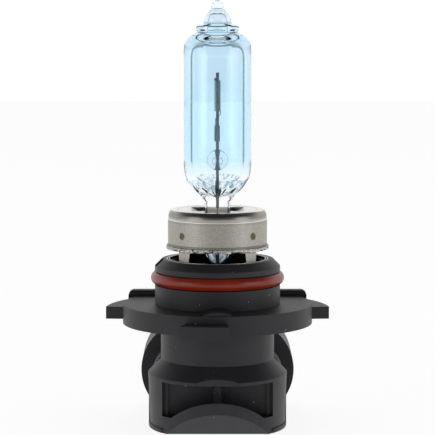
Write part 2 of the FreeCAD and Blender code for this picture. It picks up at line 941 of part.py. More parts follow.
def add_fingers(cup, plane, grip, fold, drop, half_width):
    """Two facing fingers bent down from the cup's top, so that their tips meet the glass at grip."""
    edge = grip + fit_gap
    flare = fold - edge
    slope = root(flare * flare + drop * drop)
    across, down = sheet_thick * drop / slope, sheet_thick * flare / slope
    under = fold + across - (down - sheet_thick) * -flare / drop
    for side in (-1, 1):
        sketch = new_sketch(cup, plane)
        outline(
            sketch,
            [
                (side * (fold + 0.3), cup_high),
                (side * fold, cup_high),
                (side * edge, cup_high - drop),
                (side * (edge + across), cup_high - drop - down),
                (side * under, cup_high - sheet_thick),
                (side * (fold + 0.3), cup_high - sheet_thick),
            ],
        )
        pad(cup, sketch, 2 * half_width, SideType="Symmetric")


def make_support_ring():
    """The stainless ring inside the cup, with a rim under it and four legs that stand in the hub."""
    ring = new_body("support_ring")
    outer = sleeve_radius
    inner = outer - sheet_thick
    ledge = dim("ledge_height")
    low, high = dim("sleeve_low"), dim("sleeve_high")
    turn(
        ring,
        [
            (inner, low),
            (outer, low),
            (outer, ledge),
            (dim("ledge_radius"), ledge),
            (dim("ledge_radius"), ledge + sheet_thick),
            (outer, ledge + sheet_thick),
            (outer, high),
            (inner, high),
        ],
    )
    leg = outer * sine(dim("leg_angle"))
    tip, foot = dim("leg_half_top") * cosine(45), dim("leg_half_foot") * cosine(45)
    foot_height = dim("window_low")
    sketch = new_sketch(ring, "YZ_Plane", inner * 0.5)
    outline(
        sketch,
        [
            (foot - leg, foot_height),
            (leg - foot, foot_height),
            (leg - tip, ledge),
            (tip - leg, ledge),
        ],
    )
    opening = pocket(ring, sketch, cup_radius, Reversed=True)
    around(ring, opening, 4)
    return ring


def make_insert_ring():
    """The stainless ring pressed into the hub's bore, which holds the support ring's foot."""
    ring = new_body("insert_ring")
    low, high = dim("insert_low"), hub_height + dim("insert_proud")
    thick = dim("insert_thick")
    turn(
        ring,
        [
            (hub_bore - thick, low),
            (hub_bore, low),
            (hub_bore, high),
            (hub_bore - thick, high),
        ],
    )
    return ring


# ---- glass and what is sealed in it -------------------------------------------------------------


def make_glass():
    """The capsule: seal-off tip, round shoulder, straight tube, funnel and the flat pinch below it."""
    glass = new_body("glass_capsule")
    radius = dim("tube_radius")
    bore = radius - dim("tube_wall")
    low, high = dim("tube_low"), dim("tube_high")
    bead, bead_height = dim("bead_radius"), dim("bead_height")
    shoulder = dim("shoulder_height")
    dome_end = dim("dome_end_height")
    tip, tip_round, tip_low = dim("tip_height"), dim("tip_round"), dim("tip_low")
    below_centre = tip - tip_round - tip_low
    cavity_low, cavity_high = dim("cavity_low"), dim("cavity_high")
    turn(
        glass,
        [
            (0, dome_end),
            (press_half_thick, dome_end, 5.6),
            (radius, low),
            (radius, high, 2.7),
            (bead, shoulder, -0.25),
            (bead, shoulder + 0.25, 0.6),
            (bead - 0.4, bead_height),
            (dim("bell_radius") + 0.3, bead_height + 0.1, -0.35),
            (dim("bell_radius"), dim("bell_low"), 3.2),
            (dim("bell_top_radius"), dim("bell_high")),
            (root(tip_round * tip_round - below_centre * below_centre), tip_low, tip_round),
            (0, tip),
        ],
    )
    sketch = new_sketch(glass, "XY_Plane", dim("press_low"))
    rectangle(sketch, -press_half_thick, press_half_thick, -press_half_width, press_half_width)
    pad(glass, sketch, dim("press_high") - dim("press_low"))
    round_edges(
        glass,
        dim("press_round"),
        lambda edge, p: near(p.z, dim("press_low")) and near(abs(p.x), press_half_thick),
    )
    passage, mouth = dim("passage_radius"), dim("passage_mouth")
    passage_high, passage_end = dim("passage_high"), dim("passage_end")
    dome = passage_end - passage_high
    passage_end_round = (passage * passage + dome * dome) / (2 * dome)
    turn(
        glass,
        [
            (0, cavity_low),
            (bore * 0.5, cavity_low, 3.3),
            (bore, cavity_low + 3),
            (bore, cavity_high - 1.8, 1.8),
            (bore - 1.8, cavity_high),
            (mouth, cavity_high + 0.1, -1.2),
            (passage, cavity_high + 1.3),
            (passage, passage_high, passage_end_round),
            (0, passage_end),
        ],
        "Groove",
    )
    half_width, half_thick = dim("foil_width") / 2, dim("foil_thick") / 2
    for side in (-1, 1):
        middle = side * lead_spread
        sketch = new_sketch(glass, "XY_Plane", foil_low)
        rectangle(sketch, -half_thick, half_thick, middle - half_width, middle + half_width)
        pocket(glass, sketch, foil_high - foil_low, Reversed=True)
        sketch = new_sketch(glass, "XY_Plane", foil_high)
        circle(sketch, 0, middle, lead_radius)
        pocket(glass, sketch, cavity_low + 0.4 - foil_high, Reversed=True)
        sketch = new_sketch(glass, "XY_Plane", foil_low)
        circle(sketch, 0, middle, pin_radius)
        pocket(glass, sketch, foil_low - dim("press_low") + 1)
    return glass


def make_foil(label, side):
    """A molybdenum foil in the pinch, between an inner lead and an outer lead wire."""
    foil = doc.addObject("Part::Box", label)
    foil.Label = label
    width, thick = dim("foil_width"), dim("foil_thick")
    bind(foil, Length=thick, Width=width, Height=foil_high - foil_low)
    foil.setExpression("Placement.Base.x", (-thick / 2).text)
    foil.setExpression("Placement.Base.y", (side * lead_spread - width / 2).text)
    foil.setExpression("Placement.Base.z", foil_low.text)
    return foil


def point(x, y, z):
    return FreeCAD.Vector(size(x).value, size(y).value, size(z).value)


def make_lead(label, side, top):
    """An inner lead: straight in the pinch, stepped in towards the axis, then straight up to top."""
    step = (lead_spread - lead_reach) * 1.8
    high_bend = dim("bridge_height") - dim("bridge_radius") - dim("lead_bend_gap")
    path = wire_path(
        [
            point(0, side * lead_spread, foil_high),
            point(0, side * lead_spread, high_bend - step),
            point(0, side * lead_reach, high_bend),
            point(0, side * lead_reach, top),
        ],
        dim("lead_bend").value,
    )
    return new_solid(label, wire_along(path, lead_radius.value))


def make_pin(label, side):
    """An outer lead wire from its foil down through the seal to its terminal's tab."""
    across = side * blade_offset
    lie = -pin_radius if side < 0 else blade_thick + pin_radius
    path = wire_path(
        [
            point(0, side * lead_spread, foil_low),
            point(0, side * lead_spread, -dim("pin_bend_depth")),
            point(across, lie, -dim("pin_meet_depth")),
            point(across, lie, -dim("pin_end_depth")),
        ],
        dim("lead_bend").value * 0.6,
    )
    return new_solid(label, wire_along(path, pin_radius.value))


def make_coil():
    """The upright filament with a leg at each end: one hooks on the long lead, one drops to the clamp."""
    radius, wire = dim("coil_mean_radius"), dim("coil_wire")
    low, length, turns = dim("coil_low"), dim("coil_length"), dim("coil_turns")
    helix = Part.makeHelix((length / turns).value, length.value, radius.value)
    helix.Placement.Base = point(0, 0, low)
    start = helix.Edges[0].valueAt(helix.Edges[0].FirstParameter)
    direction = helix.Edges[0].tangentAt(helix.Edges[0].FirstParameter)
    section = Part.Wire(Part.makeCircle(wire.value / 2, start, direction))
    coil = Part.Wire(helix.Edges).makePipeShell([section], True, True)
    side = lead_radius + wire / 2
    upper = wire_path(
        [
            point(-radius, 0, low + length),
            point(-radius, 0, low + length + 0.35),
            point(-side, -lead_reach, low + length + 0.35),
            point(-side, -lead_reach - 0.3, low + length + 0.1),
        ],
        0.12,
    )
    clamp_high = dim("clamp_low") + dim("clamp_length")
    lower = wire_path(
        [
            point(radius, 0, low),
            point(radius, 0, low - 0.5),
            point(-side, lead_reach, low - 1.2),
            point(-side, lead_reach, dim("clamp_low")),
        ],
        0.15,
    )
    legs = [wire_along(path, wire.value / 2) for path in (upper, lower)]
    return new_solid("filament_coil", coil.fuse(legs))


def make_clamp():
    """The sleeve crimped round the short lead's end and the coil's lower leg."""
    clamp = new_body("coil_clamp")
    sketch = new_sketch(clamp, "XY_Plane", dim("clamp_low"))
    circle(sketch, -dim("coil_wire") * 0.4, lead_reach, dim("clamp_radius"))
    pad(clamp, sketch, dim("clamp_length"))
    side = lead_radius + dim("coil_wire") / 2
    for x, radius in ((size(0), lead_radius), (-side, dim("coil_wire") / 2)):
        sketch = new_sketch(clamp, "XY_Plane", dim("clamp_low") - 0.5)
        circle(sketch, x, lead_reach, radius)
        pocket(clamp, sketch, dim("clamp_length") + 1, Reversed=True)
    throat = dim("coil_wire") * 0.4
    sketch = new_sketch(clamp, "XY_Plane", dim("clamp_low") - 0.5)
    rectangle(sketch, -side, size(0), lead_reach - throat, lead_reach + throat)
    pocket(clamp, sketch, dim("clamp_length") + 1, Reversed=True)
    return clamp


def make_bridge():
    """The clear glass bead fused round both inner leads."""
    bridge = new_body("bridge_bead")
    radius, length = dim("bridge_radius"), dim("bridge_length")
    sketch = new_sketch(bridge, "XZ_Plane")
    circle(sketch, 0, dim("bridge_height"), radius)
    pad(bridge, sketch, length, SideType="Symmetric")
    round_edges(bridge, radius * 0.6, lambda edge, p: near(abs(p.y), length / 2))
    for side in (-1, 1):
        sketch = new_sketch(bridge, "XY_Plane", dim("bridge_height") - 2 * radius)
        circle(sketch, 0, side * lead_reach, lead_radius)
        pocket(bridge, sketch, 4 * radius, Reversed=True)
    return bridge


# ---- the assembly -------------------------------------------------------------------------------

sub_parts = [
    make_housing(),
    make_o_ring(),
    make_cover(),
    make_terminal(-1),
    make_terminal(1),
    make_lead_seal(),
    make_cup(),
    make_support_ring(),
    make_insert_ring(),
    make_glass(),
    make_foil("foil_front", -1),
    make_foil("foil_rear", 1),
    make_lead("long_lead", -1, dim("long_lead_top")),
    make_lead("short_lead", 1, dim("short_lead_top")),
    make_pin("front_pin", -1),
    make_pin("rear_pin", 1),
    make_coil(),
    make_clamp(),
    make_bridge(),
]
doc.recompute()

for thing in doc.Objects:
    if "Invalid" in thing.State or "Error" in thing.State:
        raise RuntimeError("%s is in error" % thing.Name)

os.makedirs("parts", exist_ok=True)
for sub_part in sub_parts:
    shape = sub_part.Shape
    if shape.isNull() or not shape.isValid() or len(shape.Solids) != 1:
        raise RuntimeError("%s isn't one sound solid" % sub_part.Label)
    shape.exportStep("parts/%s.step" % sub_part.Label)
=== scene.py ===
"""A headlight bulb with a twist-in cap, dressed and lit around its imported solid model."""

import logging
import math
import random
from dataclasses import dataclass, field
from enum import Enum
from typing import Any, Callable

import bmesh
import bpy
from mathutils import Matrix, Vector


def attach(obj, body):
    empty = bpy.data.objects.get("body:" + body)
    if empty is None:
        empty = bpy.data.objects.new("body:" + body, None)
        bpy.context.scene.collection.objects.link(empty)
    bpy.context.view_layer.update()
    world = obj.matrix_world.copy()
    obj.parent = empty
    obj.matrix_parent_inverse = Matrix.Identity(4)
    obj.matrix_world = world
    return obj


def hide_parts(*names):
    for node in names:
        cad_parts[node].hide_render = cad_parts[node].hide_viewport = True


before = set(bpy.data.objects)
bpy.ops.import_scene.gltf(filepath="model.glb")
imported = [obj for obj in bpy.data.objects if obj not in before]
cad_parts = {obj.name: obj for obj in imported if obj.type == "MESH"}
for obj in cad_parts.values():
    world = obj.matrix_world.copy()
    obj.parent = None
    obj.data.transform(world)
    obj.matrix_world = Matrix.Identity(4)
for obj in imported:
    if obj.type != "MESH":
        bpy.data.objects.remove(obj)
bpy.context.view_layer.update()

MM = 0.001
SEED = 7
MERGE_MM = 0.0005

log = logging.getLogger("headlight_bulb")

Colour = tuple[float, float, float]
Fade = tuple[float, float]
WHITE: Colour = (1.0, 1.0, 1.0)


# ---- shader arithmetic ------------------------------------------------------------------------


class Term:
    """A value socket that takes part in arithmetic; each operation adds one Math node."""

    def __init__(self, recipe: "Nodes", socket: bpy.types.NodeSocket) -> None:
        """Keeps the socket and the nodes that it belongs to.

        Args:
            recipe: The tree that new nodes are added to.
            socket: The output socket that holds the value.
        """
        self.recipe = recipe
        self.socket = socket

    def _maths(self, operation: str, *values: Any) -> "Term":
        """Adds a Math node.

        Args:
            operation: The Math node's operation.
            values: Its inputs, in order: numbers or terms.

        Returns:
            The result as a term.
        """
        inputs = dict(enumerate(values))
        return self.recipe.value("ShaderNodeMath", {"operation": operation}, inputs)

    def __add__(self, other: Any) -> "Term":
        """This plus other."""
        return self._maths("ADD", self, other)

    def __radd__(self, other: Any) -> "Term":
        """Other plus this."""
        return self._maths("ADD", other, self)

    def __sub__(self, other: Any) -> "Term":
        """This minus other."""
        return self._maths("SUBTRACT", self, other)

    def __rsub__(self, other: Any) -> "Term":
        """Other minus this."""
        return self._maths("SUBTRACT", other, self)

    def __mul__(self, other: Any) -> "Term":
        """This times other."""
        return self._maths("MULTIPLY", self, other)

    def __rmul__(self, other: Any) -> "Term":
        """Other times this."""
        return self._maths("MULTIPLY", other, self)

    def __truediv__(self, other: Any) -> "Term":
        """This over other."""
        return self._maths("DIVIDE", self, other)

    def __pow__(self, other: Any) -> "Term":
        """This to the power other."""
        return self._maths("POWER", self, other)

    def above(self, other: Any) -> "Term":
        """1 where this is greater than other, else 0."""
        return self._maths("GREATER_THAN", self, other)

    def highest(self, other: Any) -> "Term":
        """The greater of this and other."""
        return self._maths("MAXIMUM", self, other)

    def ramp(self, low: float, high: float) -> "Term":
        """Rises smoothly from 0 at low to 1 at high; falls where low is above high.

        Args:
            low: The value that gives 0.
            high: The value that gives 1.

        Returns:
            The smooth step as a term.
        """
        start, end, first, last = (low, high, 0.0, 1.0) if low < high else (high, low, 1.0, 0.0)
        return self.recipe.value(
            "ShaderNodeMapRange",
            {"interpolation_type": "SMOOTHSTEP"},
            {"Value": self, "From Min": start, "From Max": end, "To Min": first, "To Max": last},
        )

    def near(self, place: float, fade: Fade) -> "Term":
        """A soft band round one value.

        Args:
            place: The value at the band's middle.
            fade: Squared distances from the middle where the band ends and where it is full.

        Returns:
            1 inside the band, 0 outside it.
        """
        return ((self - place) ** 2).ramp(*fade)


class Nodes:
    """A node tree that is being written, with one method that adds any node."""

    def __init__(self, tree: bpy.types.NodeTree) -> None:
        """Empties the tree.

        Args:
            tree: A material's or a world's tree.
        """
        self.tree = tree
        self.tree.nodes.clear()

    def add(
        self, kind: str, settings: dict[str, Any] | None = None, inputs: dict[Any, Any] | None = None
    ) -> bpy.types.Node:
        """Adds one node.

        Args:
            kind: The node's type.
            settings: Its properties, which are set first. "stops" gives a colour ramp's stops.
            inputs: Values or links of its sockets, by name or by number.

        Returns:
            The node.
        """
        node = self.tree.nodes.new(kind)
        for name, setting in (settings or {}).items():
            if name == "stops":
                self._set_stops(node, setting)
            else:
                setattr(node, name, setting)
        for name, value in (inputs or {}).items():
            self.put(node.inputs[name], value)
        return node

    @staticmethod
    def _set_stops(node: bpy.types.Node, stops: list[tuple[float, Colour]]) -> None:
        """Sets a colour ramp's stops.

        Args:
            node: The ramp.
            stops: Place and colour of each stop, in order.
        """
        elements = node.color_ramp.elements
        while len(elements) < len(stops):
            elements.new(0.5)
        for element, (place, colour) in zip(elements, stops):
            element.position = place
            element.color = (*colour, 1.0)

    def put(self, socket: bpy.types.NodeSocket, value: Any) -> None:
        """Links or sets a socket.

        Args:
            socket: The input socket.
            value: A term, an output socket, a number, or a colour.
        """
        if isinstance(value, Term):
            self.tree.links.new(value.socket, socket)
        elif isinstance(value, bpy.types.NodeSocket):
            self.tree.links.new(value, socket)
        elif socket.type == "RGBA" and len(value) == 3:
            socket.default_value = (*value, 1.0)
        else:
            socket.default_value = value

    def value(
        self, kind: str, settings: dict[str, Any] | None = None, inputs: dict[Any, Any] | None = None,
        output: Any = 0,
    ) -> Term:
        """Adds a node and gives one of its outputs as a term.

        Args:
            kind: The node's type.
            settings: Its properties.
            inputs: Values or links of its sockets.
            output: The output's name or number.

        Returns:
            The output as a term.
        """
        return Term(self, self.add(kind, settings, inputs).outputs[output])

    def parts(self, vector: bpy.types.NodeSocket) -> tuple[Term, Term, Term]:
        """Splits a vector.

        Args:
            vector: The vector's socket.

        Returns:
            Its x, y and z as terms.
        """
        node = self.add("ShaderNodeSeparateXYZ", {}, {0: vector})
        return Term(self, node.outputs[0]), Term(self, node.outputs[1]), Term(self, node.outputs[2])


class Recipe(Nodes):
    """A material that is being written: a Principled shader and what feeds it."""

    def __init__(self, name: str) -> None:
        """Starts a material with a Principled shader on its output.

        Args:
            name: The material's name.
        """
        self.material = bpy.data.materials.new(name)
        self.material.use_nodes = True
        super().__init__(self.material.node_tree)
        self.shader = self.add("ShaderNodeBsdfPrincipled")
        self.add("ShaderNodeOutputMaterial", {}, {"Surface": self.shader.outputs[0]})

    def place(self) -> bpy.types.NodeSocket:
        """The point on the object, in metres from its origin."""
        return self.add("ShaderNodeTexCoord").outputs["Object"]

    def noise(
        self, per_mm: float, detail: float = 3.0, stretch: Colour = (1.0, 1.0, 1.0), rough: float = 0.5
    ) -> Term:
        """Cloudy noise fixed to the object.

        Args:
            per_mm: Its fineness, in clouds to the millimetre.
            detail: How many finer layers it holds.
            stretch: Factors on the point's x, y and z before the noise is read.
            rough: How strong the finer layers are.

        Returns:
            The noise, from 0 to 1.
        """
        factors = {0: self.place(), 1: stretch}
        scaled = self.add("ShaderNodeVectorMath", {"operation": "MULTIPLY"}, factors)
        inputs = {"Vector": scaled.outputs[0], "Scale": per_mm / MM}
        inputs |= {"Detail": detail, "Roughness": rough}
        return self.value("ShaderNodeTexNoise", {}, inputs)

    def cells(self, per_mm: float, output: str = "Distance") -> Term:
        """Distance to the nearest of many scattered points.

        Args:
            per_mm: Points to the millimetre.
            output: The Voronoi node's output to give.

        Returns:
            The distance, about 0 to 1.
        """
        inputs = {"Vector": self.place(), "Scale": per_mm / MM}
        return self.value("ShaderNodeTexVoronoi", {}, inputs, output)

    def blend(self, factor: Any, first: Any, second: Any) -> bpy.types.NodeSocket:
        """Mixes two colours.

        Args:
            factor: 0 for the first colour, 1 for the second.
            first: A colour or a colour socket.
            second: A colour or a colour socket.

        Returns:
            The mixed colour's socket.
        """
        node = self.add("ShaderNodeMix", {"data_type": "RGBA"}, {0: factor, 6: first, 7: second})
        return node.outputs[2]

    def bump(self, height: Term, depth_mm: float, strength: float = 1.0) -> None:
        """Adds relief to the shader's normal.

        Args:
            height: The relief, from 0 to 1.
            depth_mm: Height that 1 stands for, in millimetres.
            strength: Share of the relief that shows.
        """
        inputs = {"Height": height, "Distance": depth_mm * MM, "Strength": strength}
        link = self.shader.inputs["Normal"].links
        if link:
            inputs["Normal"] = link[0].from_socket
        node = self.add("ShaderNodeBump", {}, inputs)
        self.put(self.shader.inputs["Normal"], node.outputs[0])

    def finish(self, **sockets: Any) -> bpy.types.Material:
        """Sets the shader's sockets.

        Args:
            sockets: Values or links, with underscores for the spaces in a socket's name.

        Returns:
            The finished material.
        """
        for name, value in sockets.items():
            self.put(self.shader.inputs[name.replace("_", " ")], value)
        return self.material


# ---- finishes ---------------------------------------------------------------------------------


@dataclass(frozen=True)
class MouldedPlastic:
    """Near-black glass-filled plastic from a spark-eroded mould, with a little pale dust on it."""

    colour: Colour = (0.0165, 0.0165, 0.0195)
    worn: Colour = (0.031, 0.031, 0.036)
    dust: Colour = (0.42, 0.42, 0.4)
    grain_per_mm: float = 5.0
    grain_depth_mm: float = 0.022

    def make(self) -> bpy.types.Material:
        """Writes the material."""
        r = Recipe("moulded_plastic")
        cloud = r.noise(0.12, 4.0)
        grain = r.noise(self.grain_per_mm, 2.0, rough=0.6)
        flow = r.noise(0.35, 3.0, (1.0, 1.0, 0.35))
        specks = r.cells(0.75).ramp(0.085, 0.05) * r.noise(0.9, 2.0).ramp(0.52, 0.62)
        base = r.blend(cloud.ramp(0.35, 0.75) * 0.5 + grain * 0.25, self.colour, self.worn)
        r.bump(grain, self.grain_depth_mm)
        r.bump(flow, 0.05, 0.4)
        return r.finish(
            Base_Color=r.blend(specks * 0.8, base, self.dust),
            Roughness=0.34 + 0.16 * grain + 0.08 * cloud,
            Specular_IOR_Level=0.3,
        )


@dataclass(frozen=True)
class SealRubber:
    """Dark brick-red silicone, smooth from its mould, with a light film of dust."""

    colour: Colour = (0.215, 0.016, 0.0045)
    faded: Colour = (0.29, 0.026, 0.0085)

    def make(self) -> bpy.types.Material:
        """Writes the material."""
        r = Recipe("seal_rubber")
        cloud = r.noise(0.3, 4.0)
        fine = r.noise(4.0, 3.0)
        smear = r.noise(0.8, 3.0, (0.5, 0.5, 3.0))
        r.bump(fine, 0.008)
        r.bump(smear, 0.05, 0.6)
        return r.finish(
            Base_Color=r.blend(cloud.ramp(0.35, 0.7), self.colour, self.faded),
            Roughness=0.17 + 0.2 * smear + 0.08 * fine,
            IOR=1.45,
        )


@dataclass(frozen=True)
class DrawnSteel:
    """Warm grey stainless sheet: blasted wall, faint draw lines, brown heat marks round the welds.

    Fields in mm are heights on the collar, from the painted shade in the bore at its lower end to the
    painted highlight and reflection over the top, unless their names say otherwise. Each fade in mm2 is
    a band's squared half width, from its end to its full part.
    """

    colour: Colour = (0.46, 0.44, 0.405)
    # The darker random tone, also used for painted shade below the step at crease_mm.
    deep: Colour = (0.26, 0.247, 0.222)
    # Painted shade on the rounding below the top, and a painted shadow line at the wall's lower edge.
    shade: Colour = (0.16, 0.155, 0.145)
    # Painted shade: near black for the collar below the hub's top, inside the bore.
    bore_shade: Colour = (0.004, 0.004, 0.0045)
    bore_shade_high_mm: float = 6.95
    # Painted highlight: the pale line along the step at crease_mm, and a painted reflection over the
    # top land.
    painted_highlight: Colour = (0.92, 0.91, 0.88)
    crease_mm: float = 13.62
    crease_fade_mm2: Fade = (0.03, 0.008)
    # Painted shade below the step at crease_mm: where it fades and where it is full.
    under_crease_shade_mm: Fade = (0.75, 0.15)
    heat: Colour = (0.07, 0.055, 0.038)
    straw: Colour = (0.42, 0.34, 0.22)
    weld_places: tuple[tuple[float, float, float], ...] = ()
    weld_radius_mm: float = 0.58
    blasted: float = 0.34
    pressed: float = 0.19
    hem_mm: float = 9.62
    hem_fade_mm2: Fade = (0.035, 0.01)
    top_mm: float = 14.95
    pressed_from_mm: float = 13.75
    bend_starts_mm: Fade = (13.9, 14.15)
    bend_ends_mm: Fade = (15.0, 14.5)

    def make(self) -> bpy.types.Material:
        """Writes the material."""
        r = Recipe("drawn_steel")
        cloud = r.noise(0.5, 4.0)
        grain = r.noise(9.0, 2.0)
        draw = r.noise(1.2, 3.0, (0.25, 0.25, 6.0))
        height = r.parts(r.place())[2] / MM
        wall = height.ramp(self.pressed_from_mm + 0.2, self.pressed_from_mm)
        mottle = r.noise(3.0, 4.0, (1.0, 1.0, 1.6), 0.7)
        base = r.blend(mottle.ramp(0.35, 0.68) * 0.5 + draw * 0.4, self.colour, self.deep)
        # Painted shade on the rounding below the top, with a mottle.
        bend_shade = height.ramp(*self.bend_starts_mm) * height.ramp(*self.bend_ends_mm)
        base = r.blend(bend_shade * (0.45 + 0.5 * mottle), base, self.shade)
        # Painted highlight along the step at crease_mm, and a painted reflection over the top land.
        line = height.near(self.crease_mm, self.crease_fade_mm2)
        top = height.ramp(self.top_mm, self.top_mm + 0.08)
        base = r.blend(top * (1 - 0.25 * mottle), base, self.painted_highlight)
        # Painted shadow: a dark line along the wall's lower edge.
        hem_shadow = height.near(self.hem_mm, self.hem_fade_mm2)
        base = r.blend(hem_shadow * 0.85, base, self.shade)
        # Painted shade below the step at crease_mm, in the deep colour.
        start, full = self.under_crease_shade_mm
        under_crease_shade = height.ramp(self.crease_mm - start, self.crease_mm - full) * wall
        base = r.blend(under_crease_shade * 0.55, base, self.deep)
        base = r.blend(line * 0.7, base, self.painted_highlight)
        for place in self.weld_places:
            away = r.value(
                "ShaderNodeVectorMath", {"operation": "DISTANCE"}, {0: r.place(), 1: place}, "Value"
            )
            ring = away / (self.weld_radius_mm * MM) + (cloud - 0.5) * 0.5
            base = r.blend(ring.ramp(1.7, 1.0) * 0.45, base, self.straw)
            base = r.blend(ring.ramp(1.15, 0.85) * 0.9, base, self.heat)
        # Painted shade: near black below the hub's top, inside the bore.
        base = r.blend(height.ramp(self.bore_shade_high_mm, self.bore_shade_high_mm - 0.15), base, self.bore_shade)
        r.bump(grain, 0.006)
        r.bump(draw, 0.012, 0.5)
        rough = self.pressed + (self.blasted - self.pressed) * wall
        return r.finish(Base_Color=base, Metallic=1.0, Roughness=rough + 0.14 * grain + 0.08 * cloud)


@dataclass(frozen=True)
class TornSteel:
    """Steel at a sheared edge: torn relief, with painted glints on its facets and painted dark
    reflections.
    """

    # Painted glint on the facets, and painted dark reflection in the breaks between them.
    bright: Colour = (0.95, 0.94, 0.91)
    dark: Colour = (0.02, 0.018, 0.016)

    def make(self) -> bpy.types.Material:
        """Writes the material."""
        r = Recipe("torn_steel")
        # This noise gives the torn relief and places the painted glints and dark reflections.
        tears = r.noise(0.9, 4.0, (1.0, 1.0, 3.0), 0.7)
        fine = r.noise(5.0, 3.0)
        r.bump(tears, 0.3)
        r.bump(fine, 0.05)
        return r.finish(
            Base_Color=r.blend((tears * 0.7 + fine * 0.3).ramp(0.44, 0.56), self.bright, self.dark),
            Metallic=1.0,
            Roughness=0.16 + 0.3 * fine,
        )


@dataclass(frozen=True)
class DarkenedSteel:
    """Steel painted near black for the shade in the spigot, with painted highlights on both lip edges.
    """

    # Painted shade: near black for the steel inside the spigot.
    dark: Colour = (0.006, 0.006, 0.007)
    # Painted highlight for both edges of the upper lip.
    bright: Colour = (0.8, 0.78, 0.75)
    lip_low_mm: float = 7.1
    lip_middle_mm: float = 7.87

    def make(self) -> bpy.types.Material:
        """Writes the material."""
        r = Recipe("darkened_steel")
        cloud = r.noise(0.8, 3.0)
        x, y, z = r.parts(r.place())
        # Painted highlights along both edges of the upper lip, which alone is metallic; elsewhere
        # painted shade.
        off_middle = ((x * x + y * y) ** 0.5 / MM - self.lip_middle_mm) ** 2
        lip = (z / MM).ramp(self.lip_low_mm, self.lip_low_mm + 0.06) * off_middle.ramp(0.008, 0.02)
        r.bump(r.noise(6.0, 2.0), 0.01)
        return r.finish(
            Base_Color=r.blend(lip, self.dark, self.bright),
            Metallic=lip,
            Roughness=0.4 + 0.2 * cloud - 0.2 * lip,
            Specular_IOR_Level=0.15,
        )


@dataclass(frozen=True)
class WeldMetal:
    """Steel melted and frozen in a weld, brown with heat."""

    colour: Colour = (0.2, 0.175, 0.13)
    dark: Colour = (0.07, 0.055, 0.04)

    def make(self) -> bpy.types.Material:
        """Writes the material."""
        r = Recipe("weld_metal")
        ripple = r.noise(3.0, 4.0)
        r.bump(ripple, 0.05)
        return r.finish(
            Base_Color=r.blend(ripple.ramp(0.35, 0.65), self.dark, self.colour),
            Metallic=1.0,
            Roughness=0.25 + 0.3 * ripple,
        )


@dataclass(frozen=True)
class LeadMetal:
    """Drawn molybdenum wire, grey, with lengthwise drawing marks."""

    name: str = "lead_metal"
    colour: Colour = (0.07, 0.085, 0.1)
    pale: Colour = (0.15, 0.175, 0.2)
    rough: float = 0.34

    def make(self) -> bpy.types.Material:
        """Writes the material."""
        r = Recipe(self.name)
        marks = r.noise(6.0, 3.0, (1.0, 1.0, 0.1))
        cloud = r.noise(0.6, 3.0)
        r.bump(marks, 0.01)
        return r.finish(
            Base_Color=r.blend(cloud.ramp(0.35, 0.7), self.colour, self.pale),
            Metallic=1.0,
            Roughness=self.rough + 0.15 * marks,
        )


@dataclass(frozen=True)
class TinPlate:
    """Tin-plated brass, softly bright, with small pits."""

    colour: Colour = (0.62, 0.61, 0.58)
    brass: Colour = (0.55, 0.45, 0.26)

    def make(self) -> bpy.types.Material:
        """Writes the material."""
        r = Recipe("tin_plate")
        cloud = r.noise(1.0, 4.0)
        fine = r.noise(12.0, 2.0)
        r.bump(fine, 0.006)
        return r.finish(
            Base_Color=r.blend(cloud.ramp(0.62, 0.75) * 0.6, self.colour, self.brass),
            Metallic=1.0,
            Roughness=0.24 + 0.2 * fine,
        )


@dataclass(frozen=True)
class CastResin:
    """Dark cast resin, smooth with a few pits."""

    colour: Colour = (0.025, 0.026, 0.03)
    pale: Colour = (0.05, 0.05, 0.056)

    def make(self) -> bpy.types.Material:
        """Writes the material."""
        r = Recipe("cast_resin")
        cloud = r.noise(0.4, 3.0)
        pits = r.cells(1.5).ramp(0.12, 0.3)
        r.bump(pits, 0.05)
        return r.finish(
            Base_Color=r.blend(cloud, self.colour, self.pale), Roughness=0.28 + 0.2 * cloud
        )


class Coat(Enum):
    """How much of the light blue coating a piece of glass carries."""

    BARE = 0.0
    FULL = 1.0


